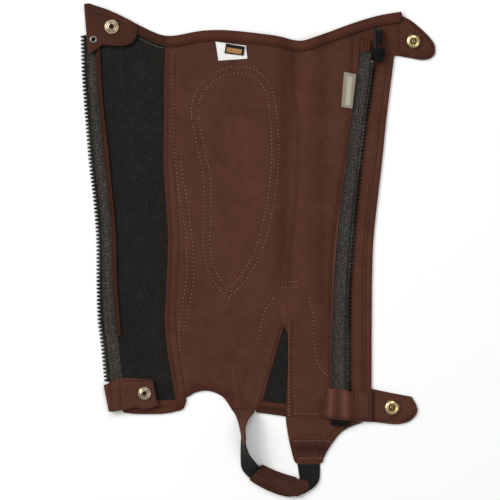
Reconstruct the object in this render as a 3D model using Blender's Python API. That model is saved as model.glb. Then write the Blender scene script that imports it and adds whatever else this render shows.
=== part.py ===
# One half chap, unzipped and laid open flat with its inside face up.
# Sizes are in millimetres: x across the leg, y up the leg, z off the surface it lies on.

import math

import bmesh
import bpy
from mathutils import Vector
from mathutils.geometry import delaunay_2d_cdt

MM = 0.001
UP = Vector((0.0, 0.0, 1.0))

# Thicknesses and clearances
LEATHER = 1.8
TAPE = 1.2
STRAP = 1.5
LABEL = 1.0
SLEEVE_WALL = 1.2
SEAM_GAP = 0.3

# Heights of the layers that lie on each other
FIRST_LAYER = LEATHER + SEAM_GAP
SECOND_LAYER = FIRST_LAYER + LEATHER + SEAM_GAP

# Zip
CHAIN_WIDTH = 6.0
LEFT_CHAIN_HEIGHT = 2.4
RIGHT_CHAIN_HEIGHT = 2.2
ZIP_TOP = 233.0
ZIP_BOTTOM = -184.0
ZIP_RAISE = 1.3
ZIP_RAISE_FROM = 188.0
ZIP_RAISE_TO = 200.0

# Where the long seams and edges run across, at rows up the leg
SEAM_COLUMNS = ("y", "left_teeth", "left_tape", "piping", "panel", "facing", "right_tape", "right_teeth", "guard")
SEAM_ROWS = [
    (272, -195.6, -180.0, -175.5, -101.0, 102.6, 117.0, 136.0, 156.0),
    (235, -195.3, -178.2, -173.8, -102.0, 101.8, 113.3, 132.3, 152.4),
    (187, -193.6, -177.1, -172.2, -103.4, 101.2, 108.7, 128.2, 146.5),
    (143, -190.3, -173.3, -168.3, -103.6, 98.2, 102.5, 121.6, 141.1),
    (99, -186.7, -169.4, -163.4, -104.0, 94.1, 97.7, 116.1, 136.6),
    (55, -181.5, -163.9, -159.5, -101.8, 87.5, 91.3, 111.1, 131.5),
    (11, -178.2, -160.9, -155.7, -99.2, 81.4, 87.1, 107.3, 126.9),
    (-33, -177.8, -160.0, -155.1, -100.7, 78.7, 83.9, 104.0, 125.4),
    (-77, -176.6, -156.8, -151.8, -102.7, 78.1, 82.0, 102.9, 125.0),
    (-110, -172.7, -152.9, -149.5, -100.1, 78.1, 81.4, 102.9, 124.9),
    (-143, -169.4, -149.6, -146.0, -94.6, 78.1, 81.4, 102.9, 124.9),
    (-190, -164.0, -146.0, -142.0, -86.0, 78.1, 81.4, 102.9, 124.9),
]

# The upper edge, from the upper left corner to the upper right one: x, y
RIM_ROWS = [
    (-191, 271.6), (-168, 265.1), (-146, 255.2), (-131, 247.3), (-119, 241.5), (-108, 236.7), (-97, 235.4),
    (-86, 236.5), (-64, 240.7), (-42, 241.8), (-20, 240.4), (2, 237.6), (24, 234.3), (46, 229.9),
    (68, 236.0), (90, 244.2), (112, 251.9), (134, 258.0), (157.5, 262.0),
]
RIM_BAND_DEPTH = 11.5

# Soft folds that lift the leather off the surface: two ridges with the valley of the shin crease between.
# Each row: top x and y of the ridge, low x and y, its rise, its reach to the left, its reach to the right
FOLD_ROWS = [
    (20, 240, 13, -40, 5.0, 48, 21),
    (59, 240, 52, -40, 4.2, 18, 25),
]
FOLD_BOX = (-32.0, -80.0, 88.0, 264.0)
FOLD_SPLITS = (15, 14)
FOLD_CELL = ((FOLD_BOX[2] - FOLD_BOX[0]) / FOLD_SPLITS[0], (FOLD_BOX[3] - FOLD_BOX[1]) / FOLD_SPLITS[1])
FOLD_FADE = 60.0

# The two edges of the tongue and of the stirrup strap, which stands on edge where they meet.
# Each row: outer edge x and y, inner edge x and y, height of the outer edge, rise of the inner edge above it
TONGUE_ROWS = [
    (-29.2, -175.2, -2.5, -175.2, 0.0, 0.0),
    (-26.4, -178.5, -4.2, -178.7, 0.0, 4.5),
    (-22.6, -184.8, -9.4, -184.8, 0.0, 13.0),
    (-20.2, -191.4, -12.5, -191.4, 0.0, 17.8),
    (-18.4, -198.0, -13.4, -198.0, 0.0, 19.0),
    (-17.3, -205.7, -12.9, -205.5, 0.0, 19.4),
    (-17.5, -212.4, -13.0, -212.0, 0.0, 19.4),
]
STRAP_ROWS = [
    (-17.7, -214.2, -13.0, -213.6, 0.0, 19.6),
    (-18.4, -224.5, -9.2, -222.5, 0.0, 18.6),
    (-18.5, -233.0, -3.5, -230.5, 0.0, 14.6),
    (-16.6, -242.0, 1.2, -236.5, 0.4, 8.5),
    (-8.4, -251.3, 4.0, -236.9, 1.5, 0.0),
    (0.8, -257.5, 11.0, -240.4, 1.5, 0.0),
    (11.7, -263.0, 20.0, -244.4, 1.5, 0.0),
    (24.6, -267.9, 30.6, -248.0, 1.5, 0.0),
    (36.6, -269.9, 42.0, -251.3, 1.5, 0.0),
    (45.6, -269.6, 44.8, -251.8, 1.5, 0.0),
    (53.6, -266.0, 45.4, -251.2, 1.5, 0.0),
    (61.4, -260.8, 45.6, -250.4, 1.3, 0.0),
    (66.5, -254.3, 45.4, -248.8, 0.8, 0.0),
    (68.2, -246.4, 44.7, -244.6, 0.2, 0.0),
    (68.2, -235.3, 43.3, -235.3, 0.0, 0.0),
]
SLEEVE_FIRST = 4
SLEEVE_LAST = 8

# Snaps: name, centre x and y, radius, height of the leather under the cap
SNAP_ROWS = [
    ("snap_top_left", -160.6, 244.9, 7.7, SECOND_LAYER + LEATHER),
    ("snap_bottom_left", -124.5, -157.3, 6.9, SECOND_LAYER + LEATHER),
    ("snap_top_right", 170.8, 229.4, 8.6, LEATHER),
    ("snap_bottom_right", 147.2, -173.2, 9.0, LEATHER),
]
SHANK_RADIUS = 2.0
SHANK_HOLE = 2.4
EYELET_CENTRE = (-180.4, 231.0)
EYELET_RADIUS = 4.4
EYELET_BORE = 1.7
EYELET_TUBE = 2.4
EYELET_HOLE = 2.8
TURN_SIDES = 24

# Zip slider and pull tab; the hinge lies across the zip at the bridge
SLIDER_CENTRE = (132.0, 214.5)
SLIDER_LENGTH = 15.4
SLIDER_CROWN = 15.2
SLIDER_TAIL = 10.6
PLATE = 1.0
SLIDER_BOTTOM = FIRST_LAYER
CHANNEL_TOP = FIRST_LAYER + ZIP_RAISE + RIGHT_CHAIN_HEIGHT + SEAM_GAP
SLIDER_TOP = CHANNEL_TOP + PLATE
HINGE = Vector((132.4, 219.5, SLIDER_TOP + 1.4))
BRIDGE_WIDTH = 2.6
PULL_LENGTH = 24.4
PULL_WIDTH = 9.6
PULL_NECK = 7.6
PULL_THICK = 1.6
PULL_WINDOW = (2.2, 5.4)
PULL_TILT = math.radians(8.0)

SUEDE = ("suede", (0.080, 0.033, 0.022), 0.92, 0.0)
HEM_LEATHER = ("hem leather", (0.098, 0.034, 0.023), 0.85, 0.0)
ELASTIC = ("knitted elastic", (0.012, 0.012, 0.011), 0.95, 0.0)
WOVEN_TAPE = ("zip tape", (0.040, 0.041, 0.038), 0.80, 0.0)
PLASTIC = ("black plastic", (0.010, 0.010, 0.011), 0.35, 0.0)
BRASS = ("pale brass", (0.600, 0.430, 0.180), 0.30, 1.0)
WHITE_WEAVE = ("white label", (0.760, 0.740, 0.690), 0.80, 0.0)
BLACK_WEAVE = ("black label", (0.014, 0.012, 0.011), 0.80, 0.0)
GREY_WEAVE = ("grey label", (0.300, 0.270, 0.210), 0.80, 0.0)


def clear_scene():
    for thing in list(bpy.data.objects):
        bpy.data.objects.remove(thing, do_unlink=True)


def material(finish):
    """The Principled material of a finish, made once and shared."""
    name, colour, roughness, metallic = finish
    found = bpy.data.materials.get(name)
    if found:
        return found
    made = bpy.data.materials.new(name)
    made.use_nodes = True
    shader = made.node_tree.nodes["Principled BSDF"]
    shader.inputs["Base Color"].default_value = (*colour, 1.0)
    shader.inputs["Roughness"].default_value = roughness
    shader.inputs["Metallic"].default_value = metallic
    made.diffuse_color = (*colour, 1.0)
    return made


def make_solid(name, finish, points, faces, pivot=Vector((0.0, 0.0, 0.0)), smooth=False):
    """One closed body from points in millimetres, with its origin at the pivot and its faces pointing out."""
    mesh = bpy.data.meshes.new(name)
    mesh.from_pydata([(Vector(p) - pivot) * MM for p in points], [], faces)
    shape = bmesh.new()
    shape.from_mesh(mesh)
    bmesh.ops.recalc_face_normals(shape, faces=shape.faces)
    shape.to_mesh(mesh)
    shape.free()
    mesh.materials.append(material(finish))
    if smooth:
        mesh.shade_smooth()
        mesh.set_sharp_from_angle(angle=math.radians(35.0))
    solid = bpy.data.objects.new(name, mesh)
    solid.location = pivot * MM
    bpy.context.scene.collection.objects.link(solid)
    return solid


# Smooth curves through short tables

def hermite(keys, values, at):
    """The value at a place on a smooth curve through sorted keys."""
    if at <= keys[0]:
        return values[0]
    if at >= keys[-1]:
        return values[-1]
    last = len(keys) - 1
    i = max(k for k in range(last) if keys[k] <= at)

    def slope(k):
        low, high = max(k - 1, 0), min(k + 1, last)
        if (values[high] - values[k]) * (values[k] - values[low]) <= 0 and low < k < high:
            return 0.0
        return (values[high] - values[low]) / (keys[high] - keys[low])

    span = keys[i + 1] - keys[i]
    u = (at - keys[i]) / span
    return (
        (2 * u ** 3 - 3 * u ** 2 + 1) * values[i]
        + (u ** 3 - 2 * u ** 2 + u) * span * slope(i)
        + (3 * u ** 2 - 2 * u ** 3) * values[i + 1]
        + (u ** 3 - u ** 2) * span * slope(i + 1)
    )


def seam_x(column, y):
    """Where a long seam lies across, at a height up the leg."""
    rows = sorted(SEAM_ROWS)
    index = SEAM_COLUMNS.index(column)
    return hermite([row[0] for row in rows], [row[index] for row in rows], y)


def rim_y(x):
    """The height of the upper edge at a place across."""
    return hermite([row[0] for row in RIM_ROWS], [row[1] for row in RIM_ROWS], x)


def run(start, stop, step):
    """Even places from start to stop, both ends among them, at most step apart."""
    count = max(1, math.ceil(abs(stop - start) / step))
    return [start + (stop - start) * i / count for i in range(count + 1)]


def along_seam(column, y_from, y_to, shift=0.0, step=22.0):
    return [(seam_x(column, y) + shift, y) for y in run(y_from, y_to, step)]


def along_rim(x_from, x_to, drop=0.0, step=11.0):
    return [(x, rim_y(x) - drop) for x in run(x_from, x_to, step)]


def through(points, steps=3):
    """A smooth curve through a few points, as more points."""
    keys = list(range(len(points)))
    places = run(0, len(points) - 1, 1.0 / steps)
    return [tuple(hermite(keys, [p[axis] for p in points], at) for axis in (0, 1)) for at in places]


def circle(centre, radius, sides=12):
    return [
        (centre[0] + radius * math.cos(math.tau * i / sides), centre[1] + radius * math.sin(math.tau * i / sides))
        for i in range(sides)
    ]


def tidy(outline, closest=0.05):
    """The outline counterclockwise and without doubled points."""
    points = [Vector(p) for i, p in enumerate(outline) if (Vector(p) - Vector(outline[i - 1])).length > closest]
    area = sum(points[i - 1].cross(points[i]) for i in range(len(points)))
    return points if area > 0 else points[::-1]


def trimmed(outline, amount):
    """The outline drawn in by an even amount all round, so that neighbours on a seam stand apart."""
    points = tidy(outline)
    moved = []
    for i, point in enumerate(points):
        before = (point - points[i - 1]).normalized()
        after = (points[(i + 1) % len(points)] - point).normalized()
        inward = Vector((-before.y - after.y, before.x + after.x))
        if inward.length < 0.3:
            inward = Vector((-after.y, after.x))
        inward.normalize()
        reach = max(0.4, inward.dot(Vector((-after.y, after.x))))
        moved.append(point + inward * (amount / reach))
    return moved


# Folds: one height field of flat triangles, shared by every piece that lies on the leather

def fold_height(x, y):
    """The lift of the folds at one corner of the field."""
    left, low, right, high = FOLD_BOX
    if not (left < x < right and low < y < high + 1.0):
        return 0.0
    height = 0.0
    for top_x, top_y, low_x, low_y, rise, reach_left, reach_right in FOLD_ROWS:
        part = (y - low_y) / (top_y - low_y)
        offset = x - (low_x + (top_x - low_x) * part)
        reach = reach_left if offset < 0 else reach_right
        if abs(offset) < reach:
            fade = min(1.0, max(0.0, (y - low) / FOLD_FADE))
            fade = fade * fade * (3.0 - 2.0 * fade)
            height += rise * fade * math.cos(0.5 * math.pi * offset / reach) ** 2
    return height


def lift(x, y):
    """The folds as flat triangles: each cell of the field is split along one diagonal."""
    left, low, right, _ = FOLD_BOX
    if not (left < x < right and low < y):
        return 0.0
    column = math.floor((x - left) / FOLD_CELL[0])
    row = math.floor((y - low) / FOLD_CELL[1])
    u = (x - left) / FOLD_CELL[0] - column
    v = (y - low) / FOLD_CELL[1] - row
    x0, x1 = left + column * FOLD_CELL[0], left + (column + 1) * FOLD_CELL[0]
    y0, y1 = low + row * FOLD_CELL[1], low + (row + 1) * FOLD_CELL[1]
    near, far = fold_height(x0, y0), fold_height(x1, y1)
    if u >= v:
        side = fold_height(x1, y0)
        return near + (side - near) * u + (far - side) * v
    side = fold_height(x0, y1)
    return near + (far - side) * u + (side - near) * v


def fold_creases():
    """The edges of the field's triangles, as long straight lines."""
    left, low, right, high = FOLD_BOX
    columns, rows = FOLD_SPLITS
    lines = [((left + i * FOLD_CELL[0], low), (left + i * FOLD_CELL[0], high)) for i in range(columns + 1)]
    lines += [((left, low + j * FOLD_CELL[1]), (right, low + j * FOLD_CELL[1])) for j in range(rows + 1)]
    for start in range(-rows, columns):
        first = max(0, start)
        last = min(columns, start + rows)
        lines.append((
            (left + first * FOLD_CELL[0], low + (first - start) * FOLD_CELL[1]),
            (left + last * FOLD_CELL[0], low + (last - start) * FOLD_CELL[1]),
        ))
    return lines


def clipped(lines, outline):
    """The creases that pass through an outline's box, cut off a little outside it."""
    margin = 1.0
    lows = [min(p[axis] for p in outline) - margin for axis in (0, 1)]
    highs = [max(p[axis] for p in outline) + margin for axis in (0, 1)]
    kept = []
    for a, b in lines:
        start, stop = 0.0, 1.0
        for axis in (0, 1):
            reach = b[axis] - a[axis]
            if abs(reach) < 1e-9:
                if not lows[axis] <= a[axis] <= highs[axis]:
                    stop = -1.0
                continue
            enter, leave = sorted(((lows[axis] - a[axis]) / reach, (highs[axis] - a[axis]) / reach))
            start, stop = max(start, enter), min(stop, leave)
        if stop > start:
            kept.append(tuple(
                (a[0] + (b[0] - a[0]) * t, a[1] + (b[1] - a[1]) * t) for t in (start, stop)
            ))
    return kept


def triangulate(outline, holes, creases):
    """Flat points and triangles inside the outline, with an edge along every crease."""
    points, edges, loops = [], [], []
    for loop in (outline, *holes):
        loops.append(list(range(len(points), len(points) + len(loop))))
        points.extend(Vector(p) for p in loop)
    for a, b in clipped(creases, outline):
        edges.append((len(points), len(points) + 1))
        points.extend((Vector(a), Vector(b)))
    flat, _, faces, _, _, owners = delaunay_2d_cdt(points, edges, loops, 0, 1e-5)
    kept = [face for face, owner in zip(faces, owners) if 0 in owner and len(owner) == 1]
    used = sorted({i for face in kept for i in face})
    place = {old: new for new, old in enumerate(used)}
    return [flat[i] for i in used], [tuple(place[i] for i in face) for face in kept]


def wall(name, finish, outline, place, thick, holes=(), creases=(), trim=SEAM_GAP / 2):
    """A cloth piece: its flat pattern laid by the place function, which gives a point and its normal."""
    flat, faces = triangulate(trimmed(outline, trim), [tidy(hole) for hole in holes], creases)
    lower, upper = [], []
    for spot in flat:
        point, normal = place(spot.x, spot.y)
        lower.append(point)
        upper.append(point + normal * thick)
    count = len(flat)
    edges = {(face[i - 1], face[i]) for face in faces for i in range(3)}
    rims = [(a, b) for a, b in edges if (b, a) not in edges]
    solid = [face[::-1] for face in faces]
    solid += [tuple(i + count for i in face) for face in faces]
    solid += [(a, b, b + count, a + count) for a, b in sorted(rims)]
    return make_solid(name, finish, lower + upper, solid)


def laid(level):
    """Lies at a level over the folds."""
    return lambda x, y: (Vector((x, y, level + lift(x, y))), UP)


def stepped(steps, level, axis):
    """Lies over a row of steps: pairs of place and height, with straight slopes between."""
    keys = [step[0] for step in steps]

    def place(x, y):
        at = (x, y)[axis]
        i = max([0] + [k for k in range(len(keys) - 1) if keys[k] <= at])
        part = min(1.0, max(0.0, (at - keys[i]) / (keys[i + 1] - keys[i])))
        return Vector((x, y, level + steps[i][1] + (steps[i + 1][1] - steps[i][1]) * part)), UP

    return place


def step_creases(steps, axis, reach=400.0):
    if axis == 0:
        return [((at, -reach), (at, reach)) for at, _ in steps]
    return [((-reach, at), (reach, at)) for at, _ in steps]


# Leather

def build_panels():
    creases = fold_creases()
    hem_end = through([(-88.2, -177.1), (-83.6, -175.5), (-81.2, -172.7), (-78.7, -165.0), (-79.2, -162.2)], 2)
    arch = through([
        (-79.2, -162.2), (-74.8, -160.1), (-69.3, -156.8), (-58.3, -154.6), (-47.3, -156.8),
        (-37.4, -162.8), (-29.2, -174.9),
    ])
    gusset_left = [(-2.2, -174.9), (0.0, -170.5), (4.4, -166.1)]
    gusset_left += through([(4.4, -166.1), (13.2, -137.5), (20.9, -110.0), (29.0, -83.5)])
    gusset_right = through([(29.0, -83.5), (32.8, -98.0), (32.7, -130.0), (30.8, -169.4)])
    low = -183.2
    panel = along_seam("panel", rim_y(-101.5), -176.4) + hem_end + arch + gusset_left + gusset_right
    panel += [(30.8, low), (79.4, low)] + along_seam("facing", low, 248.5, shift=1.3) + along_rim(103.4, -101.5)
    wall("main_panel", SUEDE, panel, laid(0.0), LEATHER, creases=creases)

    guard = along_seam("facing", 248.5, low, shift=1.3)
    guard += [(96.0, -186.2), (115.5, -188.7), (124.9, -189.0)]
    guard += along_seam("guard", -189.0, 213.4) + [(154.2, 213.4), (154.2, 238.0)] + along_rim(154.2, 103.4)
    wall("zip_guard", SUEDE, guard, laid(0.0), LEATHER)

    yoke = through([(30.8, low), (31.0, -190.0), (34.1, -209.0), (39.6, -231.0), (42.9, -235.0)])
    yoke += [(68.2, -235.0)]
    yoke += through([(71.0, -233.2), (74.8, -223.3), (87.5, -204.6), (98.5, -195.8), (115.5, -189.4)])
    yoke += [(96.0, -186.2), (79.4, low)]
    wall("strap_yoke", SUEDE, yoke, laid(0.0), LEATHER)

    gusset = gusset_left[2:] + gusset_right
    wall("gusset", ELASTIC, gusset, laid(0.0), LEATHER)
    gusset_hem = [(4.4, -166.1), (0.0, -170.5), (-2.2, -174.9), (-2.0, -178.6), (24.2, -182.1), (30.8, low)]
    wall("gusset_hem", HEM_LEATHER, gusset_hem + [(30.8, -169.4)], laid(0.0), LEATHER)

    band = along_rim(-170.0, 157.5) + [(158.6, 258.0), (155.4, 250.0)]
    band += along_rim(142.0, -168.6, drop=RIM_BAND_DEPTH)
    wall("top_band", HEM_LEATHER, band, laid(FIRST_LAYER), LEATHER, creases=creases)


def build_stretch_side():
    """The left side: stretch panel, its hem, the free zip half and the piping on the seam between them."""
    mid_seam = 1.2
    step_y = 235.5
    stretch = [(-171.9, rim_y(-171.9)), (-169.6, step_y)]
    stretch += along_seam("left_tape", step_y, -164.8, shift=mid_seam)
    stretch += along_seam("panel", -164.8, rim_y(-101.5)) + along_rim(-101.5, -171.9)
    wall("elastic_panel", ELASTIC, stretch, laid(0.0), LEATHER)

    hem = [(-150.7, -164.8)] + through([(-147.9, -178.8), (-130.0, -180.4), (-104.0, -179.9), (-88.2, -177.0)])
    hem += along_seam("panel", -176.4, -164.8)
    wall("elastic_hem", HEM_LEATHER, hem, laid(0.0), LEATHER)

    top, low = step_y, -146.2
    tape = along_seam("left_teeth", top, low, shift=CHAIN_WIDTH) + along_seam("left_tape", low, top, shift=mid_seam)
    wall("left_zip_tape", WOVEN_TAPE, tape, laid(0.0), TAPE)
    chain = along_seam("left_teeth", top, -143.5) + along_seam("left_teeth", -143.5, top, shift=CHAIN_WIDTH)
    wall("left_zip_chain", PLASTIC, chain, laid(0.0), LEFT_CHAIN_HEIGHT)
    piping = along_seam("left_tape", 232.0, -94.6) + along_seam("piping", -94.6, 232.0)
    wall("left_piping", HEM_LEATHER, piping, laid(FIRST_LAYER), LEATHER)


def build_zip_side():
    """The right side: facing, tape and chain on the guard, the patch and the garage on the tape's ends."""
    raised = [(ZIP_RAISE_FROM, 0.0), (ZIP_RAISE_TO, ZIP_RAISE)]
    on_guard = stepped(raised, FIRST_LAYER, 1)
    bends = step_creases(raised, 1)

    facing = along_seam("facing", 234.0, -150.4) + along_seam("right_tape", -150.4, 234.0)
    wall("right_facing", SUEDE, facing, laid(FIRST_LAYER), LEATHER)
    tape = along_seam("right_tape", ZIP_TOP, ZIP_BOTTOM)
    tape += along_seam("right_teeth", ZIP_BOTTOM, ZIP_TOP, shift=-CHAIN_WIDTH)
    wall("right_zip_tape", WOVEN_TAPE, tape, on_guard, TAPE, creases=bends)
    chain_top = 216.0
    chain = along_seam("right_teeth", chain_top, ZIP_BOTTOM, shift=-CHAIN_WIDTH)
    chain += along_seam("right_teeth", ZIP_BOTTOM, chain_top)
    wall("right_zip_chain", PLASTIC, chain, on_guard, RIGHT_CHAIN_HEIGHT, creases=bends)

    patch = [(112.4, 231.4), (112.0, 217.6), (122.2, 217.2), (122.8, 231.0)]
    wall("zip_top_patch", SUEDE, patch, laid(FIRST_LAYER + ZIP_RAISE + TAPE + SEAM_GAP), LABEL)

    over_tape, over_chain = TAPE + SEAM_GAP, RIGHT_CHAIN_HEIGHT + SEAM_GAP
    slopes = [
        (77.3, 0.0), (81.2, over_tape), (94.6, over_tape), (96.5, over_chain), (103.3, over_chain), (106.6, 0.0),
    ]
    garage = [(73.7, -151.2), (82.5, -151.8), (104.5, -155.1), (125.2, -155.7), (125.2, -188.1), (95.7, -187.0)]
    garage += [(66.0, -183.7), (69.3, -165.0)]
    wall("zip_garage", SUEDE, garage, stepped(slopes, FIRST_LAYER, 0), LEATHER, creases=step_creases(slopes, 0))
    box = [(79.5, -185.7), (100.0, -187.8), (100.4, -194.0), (80.0, -192.4)]
    wall("zip_box", PLASTIC, box, laid(FIRST_LAYER), 2.6)


def build_right_tabs():
    holes = {row[0]: circle(row[1:3], SHANK_HOLE) for row in SNAP_ROWS}
    upper = through([
        (154.2, 259.3), (167.2, 253.0), (178.2, 244.2), (189.2, 233.2), (194.6, 223.6), (194.4, 215.8),
        (189.0, 210.6), (180.4, 209.0), (169.4, 210.7), (154.2, 213.4),
    ])
    wall("top_right_tab", SUEDE, upper, laid(0.0), LEATHER, holes=[holes["snap_top_right"]])
    lower = [(124.9, -152.4), (145.2, -156.8)]
    lower += through([(168.9, -161.2), (175.6, -176.0), (168.9, -186.6), (160.6, -190.3)])
    wall("bottom_right_tab", SUEDE, lower + [(124.9, -189.0)], laid(0.0), LEATHER, holes=[holes["snap_bottom_right"]])


def build_folded_tab(name, fold_top, fold_low, upper, root_depth, root_top, root_low, holes):
    """A tab turned over its own fold: the part beyond the fold lies on top, its root below on the surface."""
    corner = Vector(fold_top)
    down = (Vector(fold_low) - corner).normalized()
    inward = Vector((-down.y, down.x))
    radius = (SECOND_LAYER - LEATHER) / 2
    bend = math.pi * radius
    height = (SECOND_LAYER + LEATHER) / 2

    def pattern(point):
        offset = Vector(point) - corner
        return (offset.dot(inward), offset.dot(down))

    def place(across, along):
        if across >= 0:
            turn, reach = 0.0, across
        elif across > -bend:
            turn, reach = -across / radius, 0.0
        else:
            turn, reach = math.pi, -across - bend
        normal = Vector((-inward.x * math.sin(turn), -inward.y * math.sin(turn), math.cos(turn)))
        spot = corner + inward * reach + down * along
        return Vector((spot.x, spot.y, height)) + normal * radius, normal

    outline = [pattern(p) for p in upper]
    root = -bend - root_depth
    outline += [(0.0, root_low), (root, root_low), (root, root_top + root_depth * 0.4), (-bend, root_top)]
    facets = 6
    creases = [((-bend * i / facets, -60.0), (-bend * i / facets, 90.0)) for i in range(facets + 1)]
    flat_holes = [[pattern(p) for p in hole] for hole in holes]
    wall(name, SUEDE, outline, place, LEATHER, holes=flat_holes, creases=creases)


def build_left_tabs():
    centres = {row[0]: row[1:3] for row in SNAP_ROWS}
    upper = along_rim(-188.0, -137.0)
    upper += through([
        (-137.0, 250.2), (-133.2, 245.3), (-132.6, 239.8), (-135.3, 231.0), (-142.0, 225.4), (-151.8, 223.9),
        (-170.5, 225.3),
    ])
    upper += [(-178.2, 219.6), (-184.2, 216.2), (-185.3, 236.5)]
    build_folded_tab(
        "top_left_tab", (-188.4, 270.9), (-185.7, 237.6), upper, 16.0, 0.6, 33.4,
        [circle(centres["snap_top_left"], SHANK_HOLE), circle(EYELET_CENTRE, EYELET_HOLE)],
    )
    upper = [(-167.0, -147.4), (-159.5, -143.0), (-118.8, -141.4)]
    upper += through([(-115.0, -144.6), (-111.1, -165.0), (-108.9, -170.8)], 2)
    upper += [(-125.4, -174.9), (-133.1, -172.9), (-143.0, -174.9), (-161.0, -177.7)]
    build_folded_tab(
        "bottom_left_tab", (-167.0, -147.4), (-161.0, -177.7), upper, 12.6, 0.6, 30.4,
        [circle(centres["snap_bottom_left"], SHANK_HOLE)],
    )


def build_labels():
    creases = fold_creases()
    care = [(-46.8, 229.0), (-43.5, 207.9), (-11.6, 210.1), (-13.2, 224.4)]
    wall("care_label", WHITE_WEAVE, care, laid(FIRST_LAYER), LABEL, creases=creases)
    size = [(-35.2, 226.9), (-36.9, 216.2), (-16.0, 213.4), (-14.6, 223.3)]
    wall("size_label", BLACK_WEAVE, size, laid(FIRST_LAYER + LABEL + SEAM_GAP), LABEL, creases=creases)
    side = [(94.4, 195.8), (91.3, 157.3), (103.6, 155.1), (108.0, 192.9)]
    drape = [(96.2, 0.0), (99.0, LEATHER + SEAM_GAP)]
    wall("side_label", GREY_WEAVE, side, stepped(drape, FIRST_LAYER, 0), LABEL, creases=step_creases(drape, 0))


# Stirrup strap

def strap_stations(rows, steps):
    """Even stations along the strap: the outer edge, the inner edge and the direction off the face."""
    keys = list(range(len(rows)))
    count = (len(rows) - 1) * steps
    stations = []
    for i in range(count + 1):
        values = [hermite(keys, column, i / steps) for column in zip(*rows)]
        outer = Vector((values[0], values[1], max(0.0, values[4])))
        inner = Vector((values[2], values[3], max(0.0, values[4] + values[5])))
        stations.append((outer, inner))
    framed = []
    for i, (outer, inner) in enumerate(stations):
        before, after = stations[max(i - 1, 0)], stations[min(i + 1, count)]
        travel = (after[0] + after[1]) - (before[0] + before[1])
        travel.z = 0.0
        framed.append((outer, inner, travel.cross(inner - outer).normalized()))
    return framed


def ribbon(name, finish, rows, thick, steps=2, strips=3):
    """A strap that may twist, as a wall on the outer side of its two edges."""
    points, faces = [], []
    framed = strap_stations(rows, steps)
    for outer, inner, normal in framed:
        line = [outer.lerp(inner, j / strips) for j in range(strips + 1)]
        points += line + [p + normal * thick for p in reversed(line)]
    ring = 2 * (strips + 1)
    for i in range(len(framed) - 1):
        for j in range(ring):
            k = (j + 1) % ring
            faces.append((i * ring + j, i * ring + k, (i + 1) * ring + k, (i + 1) * ring + j))
    for i in (0, len(framed) - 1):
        for j in range(strips):
            faces.append((i * ring + j, i * ring + j + 1, i * ring + ring - 2 - j, i * ring + ring - 1 - j))
    return make_solid(name, finish, points, faces)


def chamfered(low_u, high_u, low_z, high_z, cut):
    return [
        (low_u, low_z + cut), (low_u + cut, low_z), (high_u - cut, low_z), (high_u, low_z + cut),
        (high_u, high_z - cut), (high_u - cut, high_z), (low_u + cut, high_z), (low_u, high_z - cut),
    ]


def build_sleeve():
    """The flat leather tube round the strap, with a longer top layer at its right end."""
    steps = 2
    top = SLEEVE_WALL * 2 + SEAM_GAP * 2 + STRAP
    points, faces = [], []
    framed = strap_stations(STRAP_ROWS, steps)[SLEEVE_FIRST * steps:SLEEVE_LAST * steps + 1]
    for outer, inner, _ in framed:
        across = inner - outer
        width = across.length
        across.normalize()
        reach = SEAM_GAP + SLEEVE_WALL
        skin = chamfered(-reach, width + reach, 0.0, top, 0.9)
        hollow = chamfered(-SEAM_GAP, width + SEAM_GAP, SLEEVE_WALL, top - SLEEVE_WALL, 0.1)
        for u, z in skin + hollow:
            spot = outer + across * u
            points.append(Vector((spot.x, spot.y, z)))
    sides = 8
    ring = 2 * sides
    last = len(framed) - 1
    for i in range(last):
        for first in (0, sides):
            for j in range(sides):
                k = first + (j + 1) % sides
                faces.append((i * ring + first + j, i * ring + k, (i + 1) * ring + k, (i + 1) * ring + first + j))
    for i in (0, last):
        for j in range(sides):
            k = (j + 1) % sides
            faces.append((i * ring + j, i * ring + k, i * ring + sides + k, i * ring + sides + j))
    sleeve = make_solid("strap_sleeve", SUEDE, points, faces)
    end = [(38.0, -250.4), (46.0, -251.6), (53.9, -253.2), (56.3, -256.6), (56.1, -261.8), (49.5, -267.3)]
    end += [(44.0, -270.9), (36.0, -270.6)]
    flap = wall("sleeve_end", SUEDE, end, laid(top - SLEEVE_WALL), SLEEVE_WALL)
    join(sleeve, [flap])


def join(main, others):
    """Unites closed bodies into one with the exact solver; the others stay as guides."""
    for other in others:
        tool = main.modifiers.new(other.name, "BOOLEAN")
        tool.operation = "UNION"
        tool.solver = "EXACT"
        tool.object = other
        other.hide_render = True
        other.display_type = "WIRE"


# Fasteners

def turned(name, finish, centre, profile, closed):
    """A turned body: the profile lists radius and height, from the axis to the axis or as a closed loop."""
    points, faces, rings = [], [], []
    for radius, height in profile:
        if radius < 1e-6:
            rings.append([len(points)] * TURN_SIDES)
            points.append(Vector((centre[0], centre[1], height)))
            continue
        rings.append(list(range(len(points), len(points) + TURN_SIDES)))
        points += [Vector((x, y, height)) for x, y in circle(centre, radius, TURN_SIDES)]
    pairs = list(zip(rings, rings[1:]))
    if closed:
        pairs.append((rings[-1], rings[0]))
    for low, high in pairs:
        for i in range(TURN_SIDES):
            k = (i + 1) % TURN_SIDES
            face = dict.fromkeys((low[i], low[k], high[k], high[i]))
            faces.append(tuple(face))
    return make_solid(name, finish, points, faces, smooth=True)


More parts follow.
